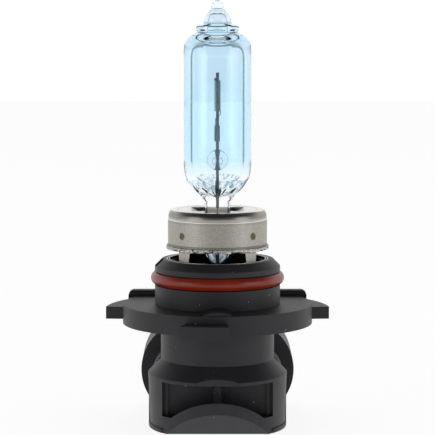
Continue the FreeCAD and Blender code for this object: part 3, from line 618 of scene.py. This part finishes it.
@dataclass(frozen=True)
class CapsuleGlass:
    """Clear glass with a light blue coating that fades out at the funnel and at the tip.

    The lower end of the pinch is painted shade, streaky, as it sits in the dark mouth of the cap. The
    rim is a painted dark line where a thick wall is seen edge on, and painted shade runs along folds in
    the creased glass.
    """

    name: str = "capsule_glass"
    coat: Coat = Coat.FULL
    clear: Colour = (0.975, 0.985, 0.99)
    blue: Colour = (0.55, 0.79, 0.96)
    teal: Colour = (0.46, 0.77, 0.94)
    # Painted shade along folds of the hollow's floor.
    fold_shade: Colour = (0.16, 0.3, 0.4)
    fold_shade_strength: float = 0.0
    # Painted shade for the pinch's lower end, down in the dark mouth of the cap.
    foot_shade: Colour = (0.06, 0.1, 0.14)
    foot_high_mm: float = 9.3
    # Painted dark line where a thick wall is seen edge on.
    rim: Colour = (0.02, 0.05, 0.085)
    coat_low_mm: float = 17.5
    coat_high_mm: float = 50.0
    rim_low_mm: float = 21.3
    edge_shade_strength: float = 0.0
    index: float = 1.47

    def make(self) -> bpy.types.Material:
        """Writes the material."""
        r = Recipe(self.name)
        height = r.parts(r.place())[2] / MM
        cloud = r.noise(0.08, 3.0)
        band = height.ramp(self.coat_low_mm, self.coat_low_mm + 6) * height.ramp(
            self.coat_high_mm, self.coat_high_mm - 8
        )
        middle = height.ramp(self.coat_low_mm, 27.0) * height.ramp(41.0, 32.0)
        coating = r.blend(middle * 0.7 + 0.3 * cloud, self.blue, self.teal)
        colour = r.blend(band * (self.coat.value * (0.8 + 0.2 * cloud)), self.clear, coating)
        # Painted shade, streaky, on the pinch below foot_high_mm.
        shade_streaks = r.noise(1.4, 3.0, (1.0, 1.0, 0.6)).ramp(0.38, 0.6)
        low = height.ramp(self.foot_high_mm, self.foot_high_mm - 0.5)
        colour = r.blend(low * (0.35 + 0.65 * shade_streaks), colour, self.foot_shade)
        if self.fold_shade_strength:
            # Painted shade along folds in the creased floor.
            folds = r.noise(1.5, 4.0, (1.0, 1.0, 0.3), 0.65).ramp(0.48, 0.62)
            colour = r.blend(folds * self.fold_shade_strength, colour, self.fold_shade)
        if self.edge_shade_strength:
            # Painted dark line where a thick wall is seen edge on.
            facing = r.value("ShaderNodeLayerWeight", {}, {"Blend": 0.5}, "Facing")
            side = facing.ramp(0.58, 0.68) * height.ramp(self.rim_low_mm, self.rim_low_mm + 1.5)
            colour = r.blend(side * self.edge_shade_strength, colour, self.rim)
        r.bump(r.noise(0.25, 2.0), 0.03, 0.3)
        return r.finish(
            Base_Color=colour,
            Roughness=0.015 * cloud,
            IOR=self.index,
            Transmission_Weight=1.0,
        )


# ---- mesh helpers -----------------------------------------------------------------------------


def cad_node(name: str) -> bpy.types.Object:
    """The CAD node of that name."""
    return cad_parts[name]


def dress(piece: bpy.types.Object, material: bpy.types.Material) -> None:
    """Gives a piece one material all over.

    Args:
        piece: A mesh object.
        material: Its material.
    """
    piece.data.materials.clear()
    piece.data.materials.append(material)


def add_piece(
    name: str, mesh: bpy.types.Mesh, material: bpy.types.Material, stands_for: str = ""
) -> bpy.types.Object:
    """Puts a mesh in the scene as a piece of the bulb.

    Args:
        name: The piece's name.
        mesh: Its mesh, in the bulb's own frame.
        material: Its material.
        stands_for: The CAD node that it stands for, if any.

    Returns:
        The new object.
    """
    piece = bpy.data.objects.new(name, mesh)
    bpy.context.scene.collection.objects.link(piece)
    dress(piece, material)
    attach(piece, "root")
    if stands_for:
        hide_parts(stands_for)
    log.info("piece %s: %d vertices", name, len(mesh.vertices))
    return piece


def mesh_from(
    shape: bmesh.types.BMesh, name: str, smooth: bool = True, recalculate: bool = True
) -> bpy.types.Mesh:
    """Turns a working mesh into a finished one.

    Args:
        shape: The working mesh, which is freed.
        name: The new mesh's name.
        smooth: Whether its faces are shaded smooth.
        recalculate: Whether its faces are turned to face outwards.

    Returns:
        The mesh.
    """
    mesh = bpy.data.meshes.new(name)
    if recalculate:
        bmesh.ops.recalc_face_normals(shape, faces=shape.faces)
    shape.to_mesh(mesh)
    shape.free()
    for face in mesh.polygons:
        face.use_smooth = smooth
    return mesh


def copy_of(name: str) -> bmesh.types.BMesh:
    """A working copy of a CAD node's mesh with its doubled corners merged.

    Args:
        name: The node.

    Returns:
        The working mesh.
    """
    shape = bmesh.new()
    shape.from_mesh(cad_node(name).data)
    bmesh.ops.remove_doubles(shape, verts=shape.verts, dist=MERGE_MM * MM)
    return shape


def close_rings(shape: bmesh.types.BMesh, rings: list[list[bmesh.types.BMVert]]) -> None:
    """Joins closed sections that follow one another round a full turn.

    Args:
        shape: The working mesh that holds them.
        rings: Each section's corners, in order.
    """
    for here, there in zip(rings, rings[1:] + rings[:1]):
        for corner in range(len(here)):
            after = (corner + 1) % len(here)
            shape.faces.new((here[corner], there[corner], there[after], here[after]))


def lathe(
    profile: list[tuple[float, float]], steps: int, jitter: Callable[[int, int], tuple[float, float]]
) -> bmesh.types.BMesh:
    """Turns a closed profile about the bulb's axis.

    Args:
        profile: (radius, height) points in millimetres.
        steps: How many steps a full turn takes.
        jitter: Gives a small change of radius and height for a point and a step.

    Returns:
        The working mesh.
    """
    shape = bmesh.new()
    rings = []
    for step in range(steps):
        angle = 2 * math.pi * step / steps
        ring = []
        for number, (radius, height) in enumerate(profile):
            out, up = jitter(number, step)
            across = (radius + out) * MM
            place = (across * math.cos(angle), across * math.sin(angle), (height + up) * MM)
            ring.append(shape.verts.new(place))
        rings.append(ring)
    close_rings(shape, rings)
    return shape


# ---- sub-assemblies ---------------------------------------------------------------------------


@dataclass
class Cap:
    """The plastic cap with its seal ring, lid, cast seal and terminals.

    The flash is the parting line round the ring's section at flash_angle, in degrees; it fades within
    flash_spread, in radians. The nubs stand on the section's points in nub_points.
    """

    plastic: bpy.types.Material
    rubber: bpy.types.Material
    resin: bpy.types.Material
    plate: bpy.types.Material
    edge_mm: float = 0.17
    edge_angle: float = 32.0
    flat_angle: float = 0.6
    ring_radius_mm: float = 9.65
    ring_section_mm: float = 1.0
    ring_height_mm: float = 4.15
    ring_steps: int = 240
    section_steps: int = 36
    flash_mm: float = 0.035
    flash_angle: float = 60.0
    flash_spread: float = 0.12
    nub_count: int = 9
    nub_mm: tuple[float, float] = (0.03, 0.07)
    nub_points: range = range(4, 9)

    def build(self) -> None:
        """Builds every piece of the cap."""
        self.mould("housing_moulding", "housing")
        self.mould("cover_moulding", "cover")
        self.seal_ring()
        dress(cad_node("lead_seal"), self.resin)
        for name in ("terminal_left", "terminal_right"):
            dress(cad_node(name), self.plate)

    def mould(self, name: str, source: str) -> None:
        """Makes a moulding with its edges softly rounded.

        Args:
            name: The piece's name.
            source: The CAD node that it stands for.
        """
        shape = copy_of(source)
        flat = math.radians(self.flat_angle)
        bmesh.ops.dissolve_limit(shape, angle_limit=flat, verts=shape.verts, edges=shape.edges)
        piece = add_piece(name, mesh_from(shape, name), self.plastic, source)
        bevel = piece.modifiers.new("edge_round", "BEVEL")
        bevel.width = self.edge_mm * MM
        bevel.segments = 2
        bevel.limit_method = "ANGLE"
        bevel.angle_limit = math.radians(self.edge_angle)
        bevel.use_clamp_overlap = True
        normals = piece.modifiers.new("face_normals", "WEIGHTED_NORMAL")
        normals.keep_sharp = True

    def seal_ring(self) -> None:
        """Makes the seal ring with the mould's parting line and a few nubs on it."""
        profile = []
        for step in range(self.section_steps):
            angle = 2 * math.pi * step / self.section_steps
            out = self.ring_section_mm * math.cos(angle)
            up = self.ring_section_mm * math.sin(angle)
            off_line = abs(angle - math.radians(self.flash_angle))
            flash = self.flash_mm * max(0.0, 1 - off_line / self.flash_spread)
            scale = 1 + flash / self.ring_section_mm
            profile.append((self.ring_radius_mm + out * scale, self.ring_height_mm + up * scale))
        chance = random.Random(SEED)
        nubs = {
            chance.randrange(self.ring_steps): chance.uniform(*self.nub_mm)
            for _ in range(self.nub_count)
        }

        def jitter(number: int, step: int) -> tuple[float, float]:
            """A nub where the parting line crosses certain steps."""
            near = [nubs[s] * (1 - abs(step - s) / 2) for s in nubs if abs(step - s) < 2]
            lift = max(near, default=0.0) if number in self.nub_points else 0.0
            return lift * 0.6, lift

        shape = lathe(profile, self.ring_steps, jitter)
        add_piece("seal_ring", mesh_from(shape, "seal_ring"), self.rubber, "o_ring")


@dataclass
class Collar:
    """The stainless cup, the ring with legs inside it, and the ring in the hub.

    The tears move the rim's points out and up by a random length in these ranges. weld_profile gives
    the weld's lip: share of its radius, and height over the wall in millimetres.
    """

    steel: bpy.types.Material
    torn: bpy.types.Material
    dark: bpy.types.Material
    weld: bpy.types.Material
    rim_radius_mm: float = 8.12
    rim_low_mm: float = 8.82
    rim_high_mm: float = 9.38
    rim_depth_mm: float = 0.3
    rim_steps: int = 320
    tear_out_mm: tuple[float, float] = (-0.09, 0.05)
    tear_up_mm: tuple[float, float] = (-0.07, 0.06)
    wall_radius_mm: float = 7.9
    weld_height_mm: float = 11.3
    weld_angles: tuple[float, ...] = (45.0, 135.0, 225.0, 315.0)
    weld_radius_mm: float = 0.52
    weld_centre_mm: float = 0.035
    weld_profile: tuple[tuple[float, float], ...] = ((0.45, -0.02), (0.75, 0.045), (1.0, -0.05))
    weld_steps: int = 28

    def build(self) -> None:
        """Builds every piece of the collar."""
        for name in ("cup", "support_ring"):
            dress(cad_node(name), self.steel)
        dress(cad_node("insert_ring"), self.dark)
        self.sheared_rim()
        for number, angle in enumerate(self.weld_angles):
            self.weld_spot("weld_%d" % number, math.radians(angle))

    def sheared_rim(self) -> None:
        """Makes the rim's torn, blanked edge, which stands round the support ring's rim."""
        low, high = self.rim_low_mm, self.rim_high_mm
        inner = self.rim_radius_mm - self.rim_depth_mm
        profile = [
            (inner, low + 0.02),
            (self.rim_radius_mm - 0.06, low),
            (self.rim_radius_mm + 0.01, low + 0.1),
            (self.rim_radius_mm, high - 0.1),
            (self.rim_radius_mm - 0.08, high),
            (inner, high - 0.01),
        ]
        chance = random.Random(SEED + 1)
        count = len(profile)
        torn = [
            (chance.uniform(*self.tear_out_mm), chance.uniform(*self.tear_up_mm))
            for _ in range(self.rim_steps * count)
        ]

        def jitter(number: int, step: int) -> tuple[float, float]:
            """A torn edge outside, none at the inner corners."""
            if number in (0, count - 1):
                return 0.0, 0.0
            return torn[step * count + number]

        shape = lathe(profile, self.rim_steps, jitter)
        add_piece("sheared_rim", mesh_from(shape, "sheared_rim"), self.torn)

    def weld_spot(self, name: str, angle: float) -> None:
        """Makes one spot weld: a shallow crater with a raised lip on the cup's wall.

        Args:
            name: The piece's name.
            angle: Its place round the axis, in radians.
        """
        shape = bmesh.new()
        chance = random.Random(SEED + int(angle * 100))
        out = Vector((math.cos(angle), math.sin(angle), 0))
        side = Vector((-math.sin(angle), math.cos(angle), 0))
        up = Vector((0, 0, 1))
        middle = out * self.wall_radius_mm + up * self.weld_height_mm
        centre = shape.verts.new((middle + out * self.weld_centre_mm) * MM)
        rings = []
        for share, rise in self.weld_profile:
            ring = []
            for step in range(self.weld_steps):
                turn = 2 * math.pi * step / self.weld_steps
                reach = self.weld_radius_mm * share * (1 + chance.uniform(-0.05, 0.05))
                across, high = reach * math.cos(turn), reach * 1.15 * math.sin(turn)
                sink = across * across / (2 * self.wall_radius_mm)
                spot = middle + side * across + up * high + out * (rise - sink + 0.01)
                ring.append(shape.verts.new(spot * MM))
            rings.append(ring)
        for step in range(self.weld_steps):
            after = (step + 1) % self.weld_steps
            shape.faces.new((centre, rings[0][step], rings[0][after]))
            for inner, outer in zip(rings, rings[1:]):
                shape.faces.new((inner[step], outer[step], outer[after], inner[after]))
        add_piece(name, mesh_from(shape, name), self.weld)


Row = tuple[float, ...]


def between(a: float, b: float, c: float, d: float, share: float) -> float:
    """A number that share of the way from b to c, on a smooth curve through all four."""
    square = (2 * a - 5 * b + 4 * c - d) * share * share
    cube = (3 * b - a - 3 * c + d) * share * share * share
    return 0.5 * (2 * b + (c - a) * share + square + cube)


def eased(rows: list[Row], step_mm: float) -> list[Row]:
    """Runs a smooth curve through rows of numbers whose first is a height.

    Args:
        rows: The rows, from the lowest up.
        step_mm: The longest step between two results.

    Returns:
        The rows with more between them.
    """
    padded = [rows[0], *rows, rows[-1]]
    result = []
    for before, here, there, after in zip(padded, padded[1:], padded[2:], padded[3:]):
        count = max(2, math.ceil(math.dist(here[:2], there[:2]) / step_mm))
        for number in range(count):
            columns = zip(before, here, there, after)
            result.append(tuple(between(*column, number / count) for column in columns))
    return [*result, rows[-1]]


def stacked(rows: list[Row], steps: int) -> bmesh.types.BMesh:
    """Stacks rounded sections and joins them into a closed skin.

    Args:
        rows: Height, half width, half depth and squareness of each section, in millimetres.
        steps: Corners in each section.

    Returns:
        The working mesh.
    """
    shape = bmesh.new()
    rings = []
    for height, half_x, half_y, squareness in rows:
        ring = []
        for step in range(steps):
            angle = 2 * math.pi * (step + 0.5) / steps
            across, along = math.cos(angle), math.sin(angle)
            reach = (abs(across) ** squareness + abs(along) ** squareness) ** (-1 / squareness)
            place = Vector((half_x * reach * across, half_y * reach * along, height))
            ring.append(shape.verts.new(place * MM))
        rings.append(ring)
    for here, there in zip(rings, rings[1:]):
        for step in range(steps):
            after = (step + 1) % steps
            shape.faces.new((here[step], here[after], there[after], there[step]))
    shape.faces.new(tuple(reversed(rings[0])))
    shape.faces.new(tuple(rings[-1]))
    return shape


@dataclass(frozen=True)
class Pucker:
    """Folds in the hollow's floor: 13 fine ones, and 5 broad ones that make them uneven."""

    height_mm: float = 18.6
    reach_mm: float = 1.5
    depth_mm: float = 0.12
    fine: int = 13
    phase: float = 0.6
    broad: int = 5
    broad_share: float = 0.6


@dataclass
class Capsule:
    """The glass capsule, with its flat pinch and blown tip, and the bead inside it.

    bead_mm is the bead's radius, length and height on the axis. seam_mm is a seam's half width, half
    height and thickness, and seam_out_mm is how far its middle stands from the bulb's centre plane.
    """

    glass: bpy.types.Material
    inner: bpy.types.Material
    floor: bpy.types.Material
    clear: bpy.types.Material
    steps: int = 128
    floor_top_mm: float = 19.9
    tube_mm: float = 5.35
    bore_mm: float = 4.3
    pinch_half_mm: tuple[float, float] = (1.97, 3.5)
    pinch_low_mm: float = 6.5
    pinch_round_mm: float = 1.85
    bead_mm: tuple[float, float, float] = (1.66, 5.4, 22.9)
    seam_mm: tuple[float, float, float] = (0.24, 0.55, 0.07)
    seam_out_mm: float = 0.5
    seam_steps: int = 32
    seam_corners: int = 8
    pucker: Pucker = Pucker()

    def build(self) -> None:
        """Builds the capsule, then the seams and the bead."""
        self.envelope()
        self.fused_seam("bridge_seam_left", -1)
        self.fused_seam("bridge_seam_right", 1)
        self.bridge()

    def pinch_rows(self) -> list[Row]:
        """Sections of the flat pinch, whose lower end is rounded from side to side."""
        half_x, half_y = self.pinch_half_mm
        rows = []
        for number in range(10):
            drop = self.pinch_round_mm * (1 - math.sin(math.pi / 2 * number / 9))
            inset = self.pinch_round_mm - math.sqrt(self.pinch_round_mm**2 - drop**2)
            height = self.pinch_low_mm + self.pinch_round_mm - drop
            rows.append((height, half_x - inset, half_y - 0.3 * inset, 5.0))
        rows.append((12.0, half_x, half_y, 6.0))
        rows.append((15.4, half_x + 0.02, half_y, 5.5))
        return rows

    def outer_rows(self) -> list[Row]:
        """Sections of the outside, from the pinch to the tip."""
        tube = self.tube_mm
        funnel = [
            (16.5, 2.05, 3.5, 4.6),
            (16.95, 2.42, 3.55, 4.0),
            (17.62, 3.06, 3.75, 3.2),
            (18.32, 3.95, 4.25, 2.5),
            (19.69, 4.93, 4.97, 2.1),
            (21.4, tube - 0.03, tube - 0.03, 2.0),
            (23.0, tube, tube, 2.0),
            (24.0, tube, tube, 2.0),
        ]
        shoulder = [(39.2, tube), (40.2, tube), (41.3, 5.22), (42.1, 4.78), (42.65, 4.18), (42.95, 3.6)]
        ring = [(43.1, 3.22), (43.32, 3.28), (43.6, 3.4), (43.95, 3.38), (44.2, 3.14), (44.34, 2.75)]
        bell = [(44.5, 2.3), (44.85, 2.16), (45.4, 2.1), (45.85, 1.84), (46.3, 1.42)]
        tip = [(46.75, 1.06), (47.2, 0.93), (47.6, 0.8), (47.9, 0.56), (48.08, 0.3), (48.14, 0.08)]
        round_rows = [(height, half, half, 2.0) for height, half in shoulder + ring + bell + tip]
        return self.pinch_rows() + eased(funnel, 0.25) + eased(round_rows, 0.16)

    def inner_rows(self) -> list[Row]:
        """Sections of the hollow, from the dimple round the leads to the sealed passage in the tip."""
        bore = self.bore_mm
        floor = [(17.3, 0.3), (17.62, 0.7), (18.0, 1.35), (18.45, 2.15), (19.05, 2.95), (20.0, 3.66)]
        wall = [(21.2, 4.08), (22.4, bore - 0.03), (23.6, bore), (24.6, bore)]
        dome = [(37.9, bore), (38.9, bore), (40.0, 4.23), (40.9, 3.95)]
        cone = [(41.45, 3.35), (41.75, 2.6), (42.15, 2.05)]
        passage = [(43.0, 1.7), (44.0, 1.62), (44.9, 1.55), (45.6, 1.3), (45.95, 0.8), (46.08, 0.15)]
        lower, upper = (
            [(height, half, half, 2.0) for height, half in run]
            for run in (floor + wall, dome + cone + passage)
        )
        return eased(lower, 0.3) + eased(upper, 0.2)

    def petals(self, skin: bmesh.types.BMesh) -> None:
        """Puckers the hollow's floor where the hot glass was pinched.

        Args:
            skin: The inner skin.
        """
        pucker = self.pucker
        for vert in skin.verts:
            height = vert.co.z / MM
            share = max(0.0, 1 - abs(height - pucker.height_mm) / pucker.reach_mm)
            angle = math.atan2(vert.co.y, vert.co.x)
            fine = math.cos(pucker.fine * angle + pucker.phase)
            fold = fine + pucker.broad_share * math.cos(pucker.broad * angle)
            vert.co.z += pucker.depth_mm * MM * share * fold

    def envelope(self) -> None:
        """Makes the glass: an outer skin, and an inner one that faces the hollow."""
        skins = [stacked(self.outer_rows(), self.steps), stacked(self.inner_rows(), self.steps)]
        self.petals(skins[1])
        whole = bmesh.new()
        for number, skin in enumerate(skins):
            bmesh.ops.recalc_face_normals(skin, faces=skin.faces)
            if number:
                bmesh.ops.reverse_faces(skin, faces=skin.faces)
            for face in skin.faces:
                face.material_index = number
            part = bpy.data.meshes.new("skin")
            skin.to_mesh(part)
            skin.free()
            whole.from_mesh(part)
            bpy.data.meshes.remove(part)
        mesh = mesh_from(whole, "capsule_envelope", recalculate=False)
        sides = [face.material_index for face in mesh.polygons]
        piece = add_piece("capsule_envelope", mesh, self.glass, "glass_capsule")
        piece.data.materials.append(self.inner)
        piece.data.materials.append(self.floor)
        for face, side in zip(piece.data.polygons, sides):
            face.material_index = 2 if side and face.center.z < self.floor_top_mm * MM else side

    def bridge(self) -> None:
        """Makes the fused bead that holds the two leads apart."""
        radius, length, height = self.bead_mm
        half, curve = length / 2, radius * 0.8
        rows = [(-half, 0.3, 0.3, 2.0)]
        for number in range(1, 12):
            turn = math.pi / 2 * number / 11
            reach = radius - curve + curve * math.sin(turn)
            rows.append((-half + curve * (1 - math.cos(turn)), reach, reach, 2.0))
        rows += [(-along, across, deep, power) for along, across, deep, power in reversed(rows)]
        shape = stacked(rows, 64)
        for vert in shape.verts:
            vert.co = Vector((vert.co.x, vert.co.z, vert.co.y + height * MM))
        add_piece("bridge", mesh_from(shape, "bridge"), self.clear, "bridge_bead")

    def fused_seam(self, name: str, side: int) -> None:
        """Makes the oval seam on the bead's front where the hot glass closed round a lead.

        Args:
            name: The piece's name.
            side: -1 for the left seam, 1 for the right one.
        """
        _, length, height = self.bead_mm
        half_x, half_z, thick = self.seam_mm
        shape = bmesh.new()
        rings = []
        for step in range(self.seam_steps):
            turn = 2 * math.pi * step / self.seam_steps
            ring = []
            for corner in range(self.seam_corners):
                roll = 2 * math.pi * corner / self.seam_corners
                grow = 1 + thick * math.cos(roll) / half_x
                x = side * self.seam_out_mm + half_x * grow * math.cos(turn)
                z = height + (half_z + thick * math.cos(roll)) * math.sin(turn)
                ring.append(shape.verts.new(Vector((x, -length / 2 + thick * math.sin(roll), z)) * MM))
            rings.append(ring)
        close_rings(shape, rings)
        add_piece(name, mesh_from(shape, name), self.inner)


@dataclass
class Mount:
    """The filament, its leads, the clamp, the foils and the outer lead wires."""

    lead: bpy.types.Material
    coil: bpy.types.Material

    def build(self) -> None:
        """Dresses the metal that the glass holds."""
        wires = ("long_lead", "short_lead", "front_pin", "rear_pin", "foil_front", "foil_rear")
        for name in (*wires, "coil_clamp"):
            dress(cad_node(name), self.lead)
        dress(cad_node("filament_coil"), self.coil)


class Softbox(Enum):
    """The soft lights: place, size and power."""

    TOP = ((0.0, 0.2, 0.5), 0.35, 0.12)
    FRONT_LEFT = ((-0.5, -0.35, 0.12), 0.4, 0.55)
    FRONT_RIGHT = ((0.52, -0.3, 0.12), 0.4, 0.55)


@dataclass
class Studio:
    """The pale floor, the soft lights and the camera.

    The fades are the places, on the axes of a unit sphere, between which the light from all round
    changes; side_fade is squared. overhead_lean raises the dim part overhead towards the back.
    """

    front_level: float = 0.32
    back_fade: Fade = (-0.15, 0.55)
    side_level: float = 0.4
    side_fade: Fade = (0.3, 0.8)
    overhead_fall: float = 0.86
    overhead_lean: float = 0.35
    overhead_fade: Fade = (0.18, 0.55)
    glass_fill: float = 0.5
    backdrop_level: float = 1.0
    floor_glow: float = 0.86
    floor_height_mm: float = -19.86
    floor_radius_m: float = 1.2
    aim: Vector = field(default_factory=lambda: Vector((0.0, 0.0, 0.014)))
    camera_back_m: float = 0.31024
    camera_up_m: float = 0.045757
    camera_tilt: float = 5.9
    lens_mm: float = 161.95

    def build(self) -> None:
        """Builds the floor, the lights, the surroundings and the camera."""
        self.floor()
        self.surroundings()
        for box in Softbox:
            self.light(box)
        self.camera()

    def floor(self) -> None:
        """Lays the floor."""
        r = Recipe("floor")
        cloud = r.noise(0.01, 2.0)
        material = r.finish(
            Base_Color=r.blend(cloud, (0.3, 0.3, 0.3), (0.34, 0.34, 0.34)),
            Roughness=0.9,
            Specular_IOR_Level=0.1,
            Emission_Color=WHITE,
            Emission_Strength=self.floor_glow,
        )
        shape = bmesh.new()
        bmesh.ops.create_circle(shape, cap_ends=True, radius=self.floor_radius_m, segments=96)
        for vert in shape.verts:
            vert.co.z = self.floor_height_mm * MM
        floor = bpy.data.objects.new("floor", mesh_from(shape, "floor", False))
        bpy.context.scene.collection.objects.link(floor)
        dress(floor, material)

    def surroundings(self) -> None:
        """Sets the light from all round: bright behind the bulb, dim in front of it and overhead."""
        world = bpy.data.worlds.new("studio")
        bpy.context.scene.world = world
        world.use_nodes = True
        n = Nodes(world.node_tree)
        x, y, z = n.parts(n.add("ShaderNodeTexCoord").outputs["Generated"])
        level = self.front_level + (1 - self.front_level) * y.ramp(*self.back_fade)
        level = level + self.side_level * (x * x).ramp(*self.side_fade)
        above = (z - self.overhead_lean * y.highest(0.0)).ramp(*self.overhead_fade)
        level = level * (1 - self.overhead_fall * above)
        path = n.add("ShaderNodeLightPath").outputs
        bounced = (Term(n, path["Glossy Depth"]) + Term(n, path["Diffuse Depth"])).above(0.5)
        through = Term(n, path["Is Transmission Ray"]) * (1 - bounced)
        plain = through.highest(Term(n, path["Is Camera Ray"]))
        inside = Term(n, path["Transmission Depth"]).above(0.5)
        level = level + inside * self.glass_fill * (1 - level)
        strength = plain * self.backdrop_level + (1 - plain) * level
        background = n.add("ShaderNodeBackground", {}, {"Color": WHITE, "Strength": strength})
        n.add("ShaderNodeOutputWorld", {}, {0: background.outputs[0]})

    def light(self, box: Softbox) -> None:
        """Hangs a soft light that faces the bulb.

        Args:
            box: The light's place, size and power.
        """
        place, width, power = box.value
        lamp = bpy.data.lights.new(box.name.lower(), "AREA")
        lamp.shape = "DISK"
        lamp.size = width
        lamp.energy = power
        light = bpy.data.objects.new(box.name.lower(), lamp)
        light.location = place
        away = Vector(place) - self.aim
        light.rotation_euler = away.to_track_quat("Z", "Y").to_euler()
        bpy.context.scene.collection.objects.link(light)

    def camera(self) -> None:
        """Sets up the camera in front of the bulb."""
        lens = bpy.data.cameras.new("camera")
        lens.lens = self.lens_mm
        lens.sensor_width = 36.0
        camera = bpy.data.objects.new("camera", lens)
        camera.location = (0.0, -self.camera_back_m, self.camera_up_m)
        camera.rotation_euler = (math.radians(90 - self.camera_tilt), 0.0, 0.0)
        bpy.context.scene.collection.objects.link(camera)
        bpy.context.scene.camera = camera


def weld_places() -> tuple[tuple[float, float, float], ...]:
    """Where the spot welds sit on the cup's wall, in metres."""
    radius, height = Collar.wall_radius_mm * MM, Collar.weld_height_mm * MM
    angles = [math.radians(angle) for angle in Collar.weld_angles]
    return tuple((radius * math.cos(angle), radius * math.sin(angle), height) for angle in angles)


def main() -> None:
    """Builds the bulb and the studio in order."""
    logging.basicConfig(level=logging.INFO, format="%(name)s: %(message)s")
    steel = DrawnSteel(weld_places=weld_places()).make()
    Cap(MouldedPlastic().make(), SealRubber().make(), CastResin().make(), TinPlate().make()).build()
    Collar(steel, TornSteel().make(), DarkenedSteel().make(), WeldMetal().make()).build()
    Capsule(
        CapsuleGlass().make(),
        # The bore and bead glass carry the painted dark edge line.
        CapsuleGlass(name="bore_glass", coat=Coat.BARE, edge_shade_strength=1.0).make(),
        # The floor glass carries painted shade along its folds.
        CapsuleGlass(name="floor_glass", index=1.16, fold_shade_strength=0.95).make(),
        CapsuleGlass(name="bead_glass", coat=Coat.BARE, index=1.16, edge_shade_strength=0.7).make(),
    ).build()
    coil = LeadMetal("coil_metal", (0.16, 0.19, 0.22), (0.26, 0.3, 0.34), 0.26).make()
    Mount(LeadMetal().make(), coil).build()
    Studio().build()
    bpy.context.scene.view_settings.view_transform = "Standard"


if __name__ == "__main__":
    main()
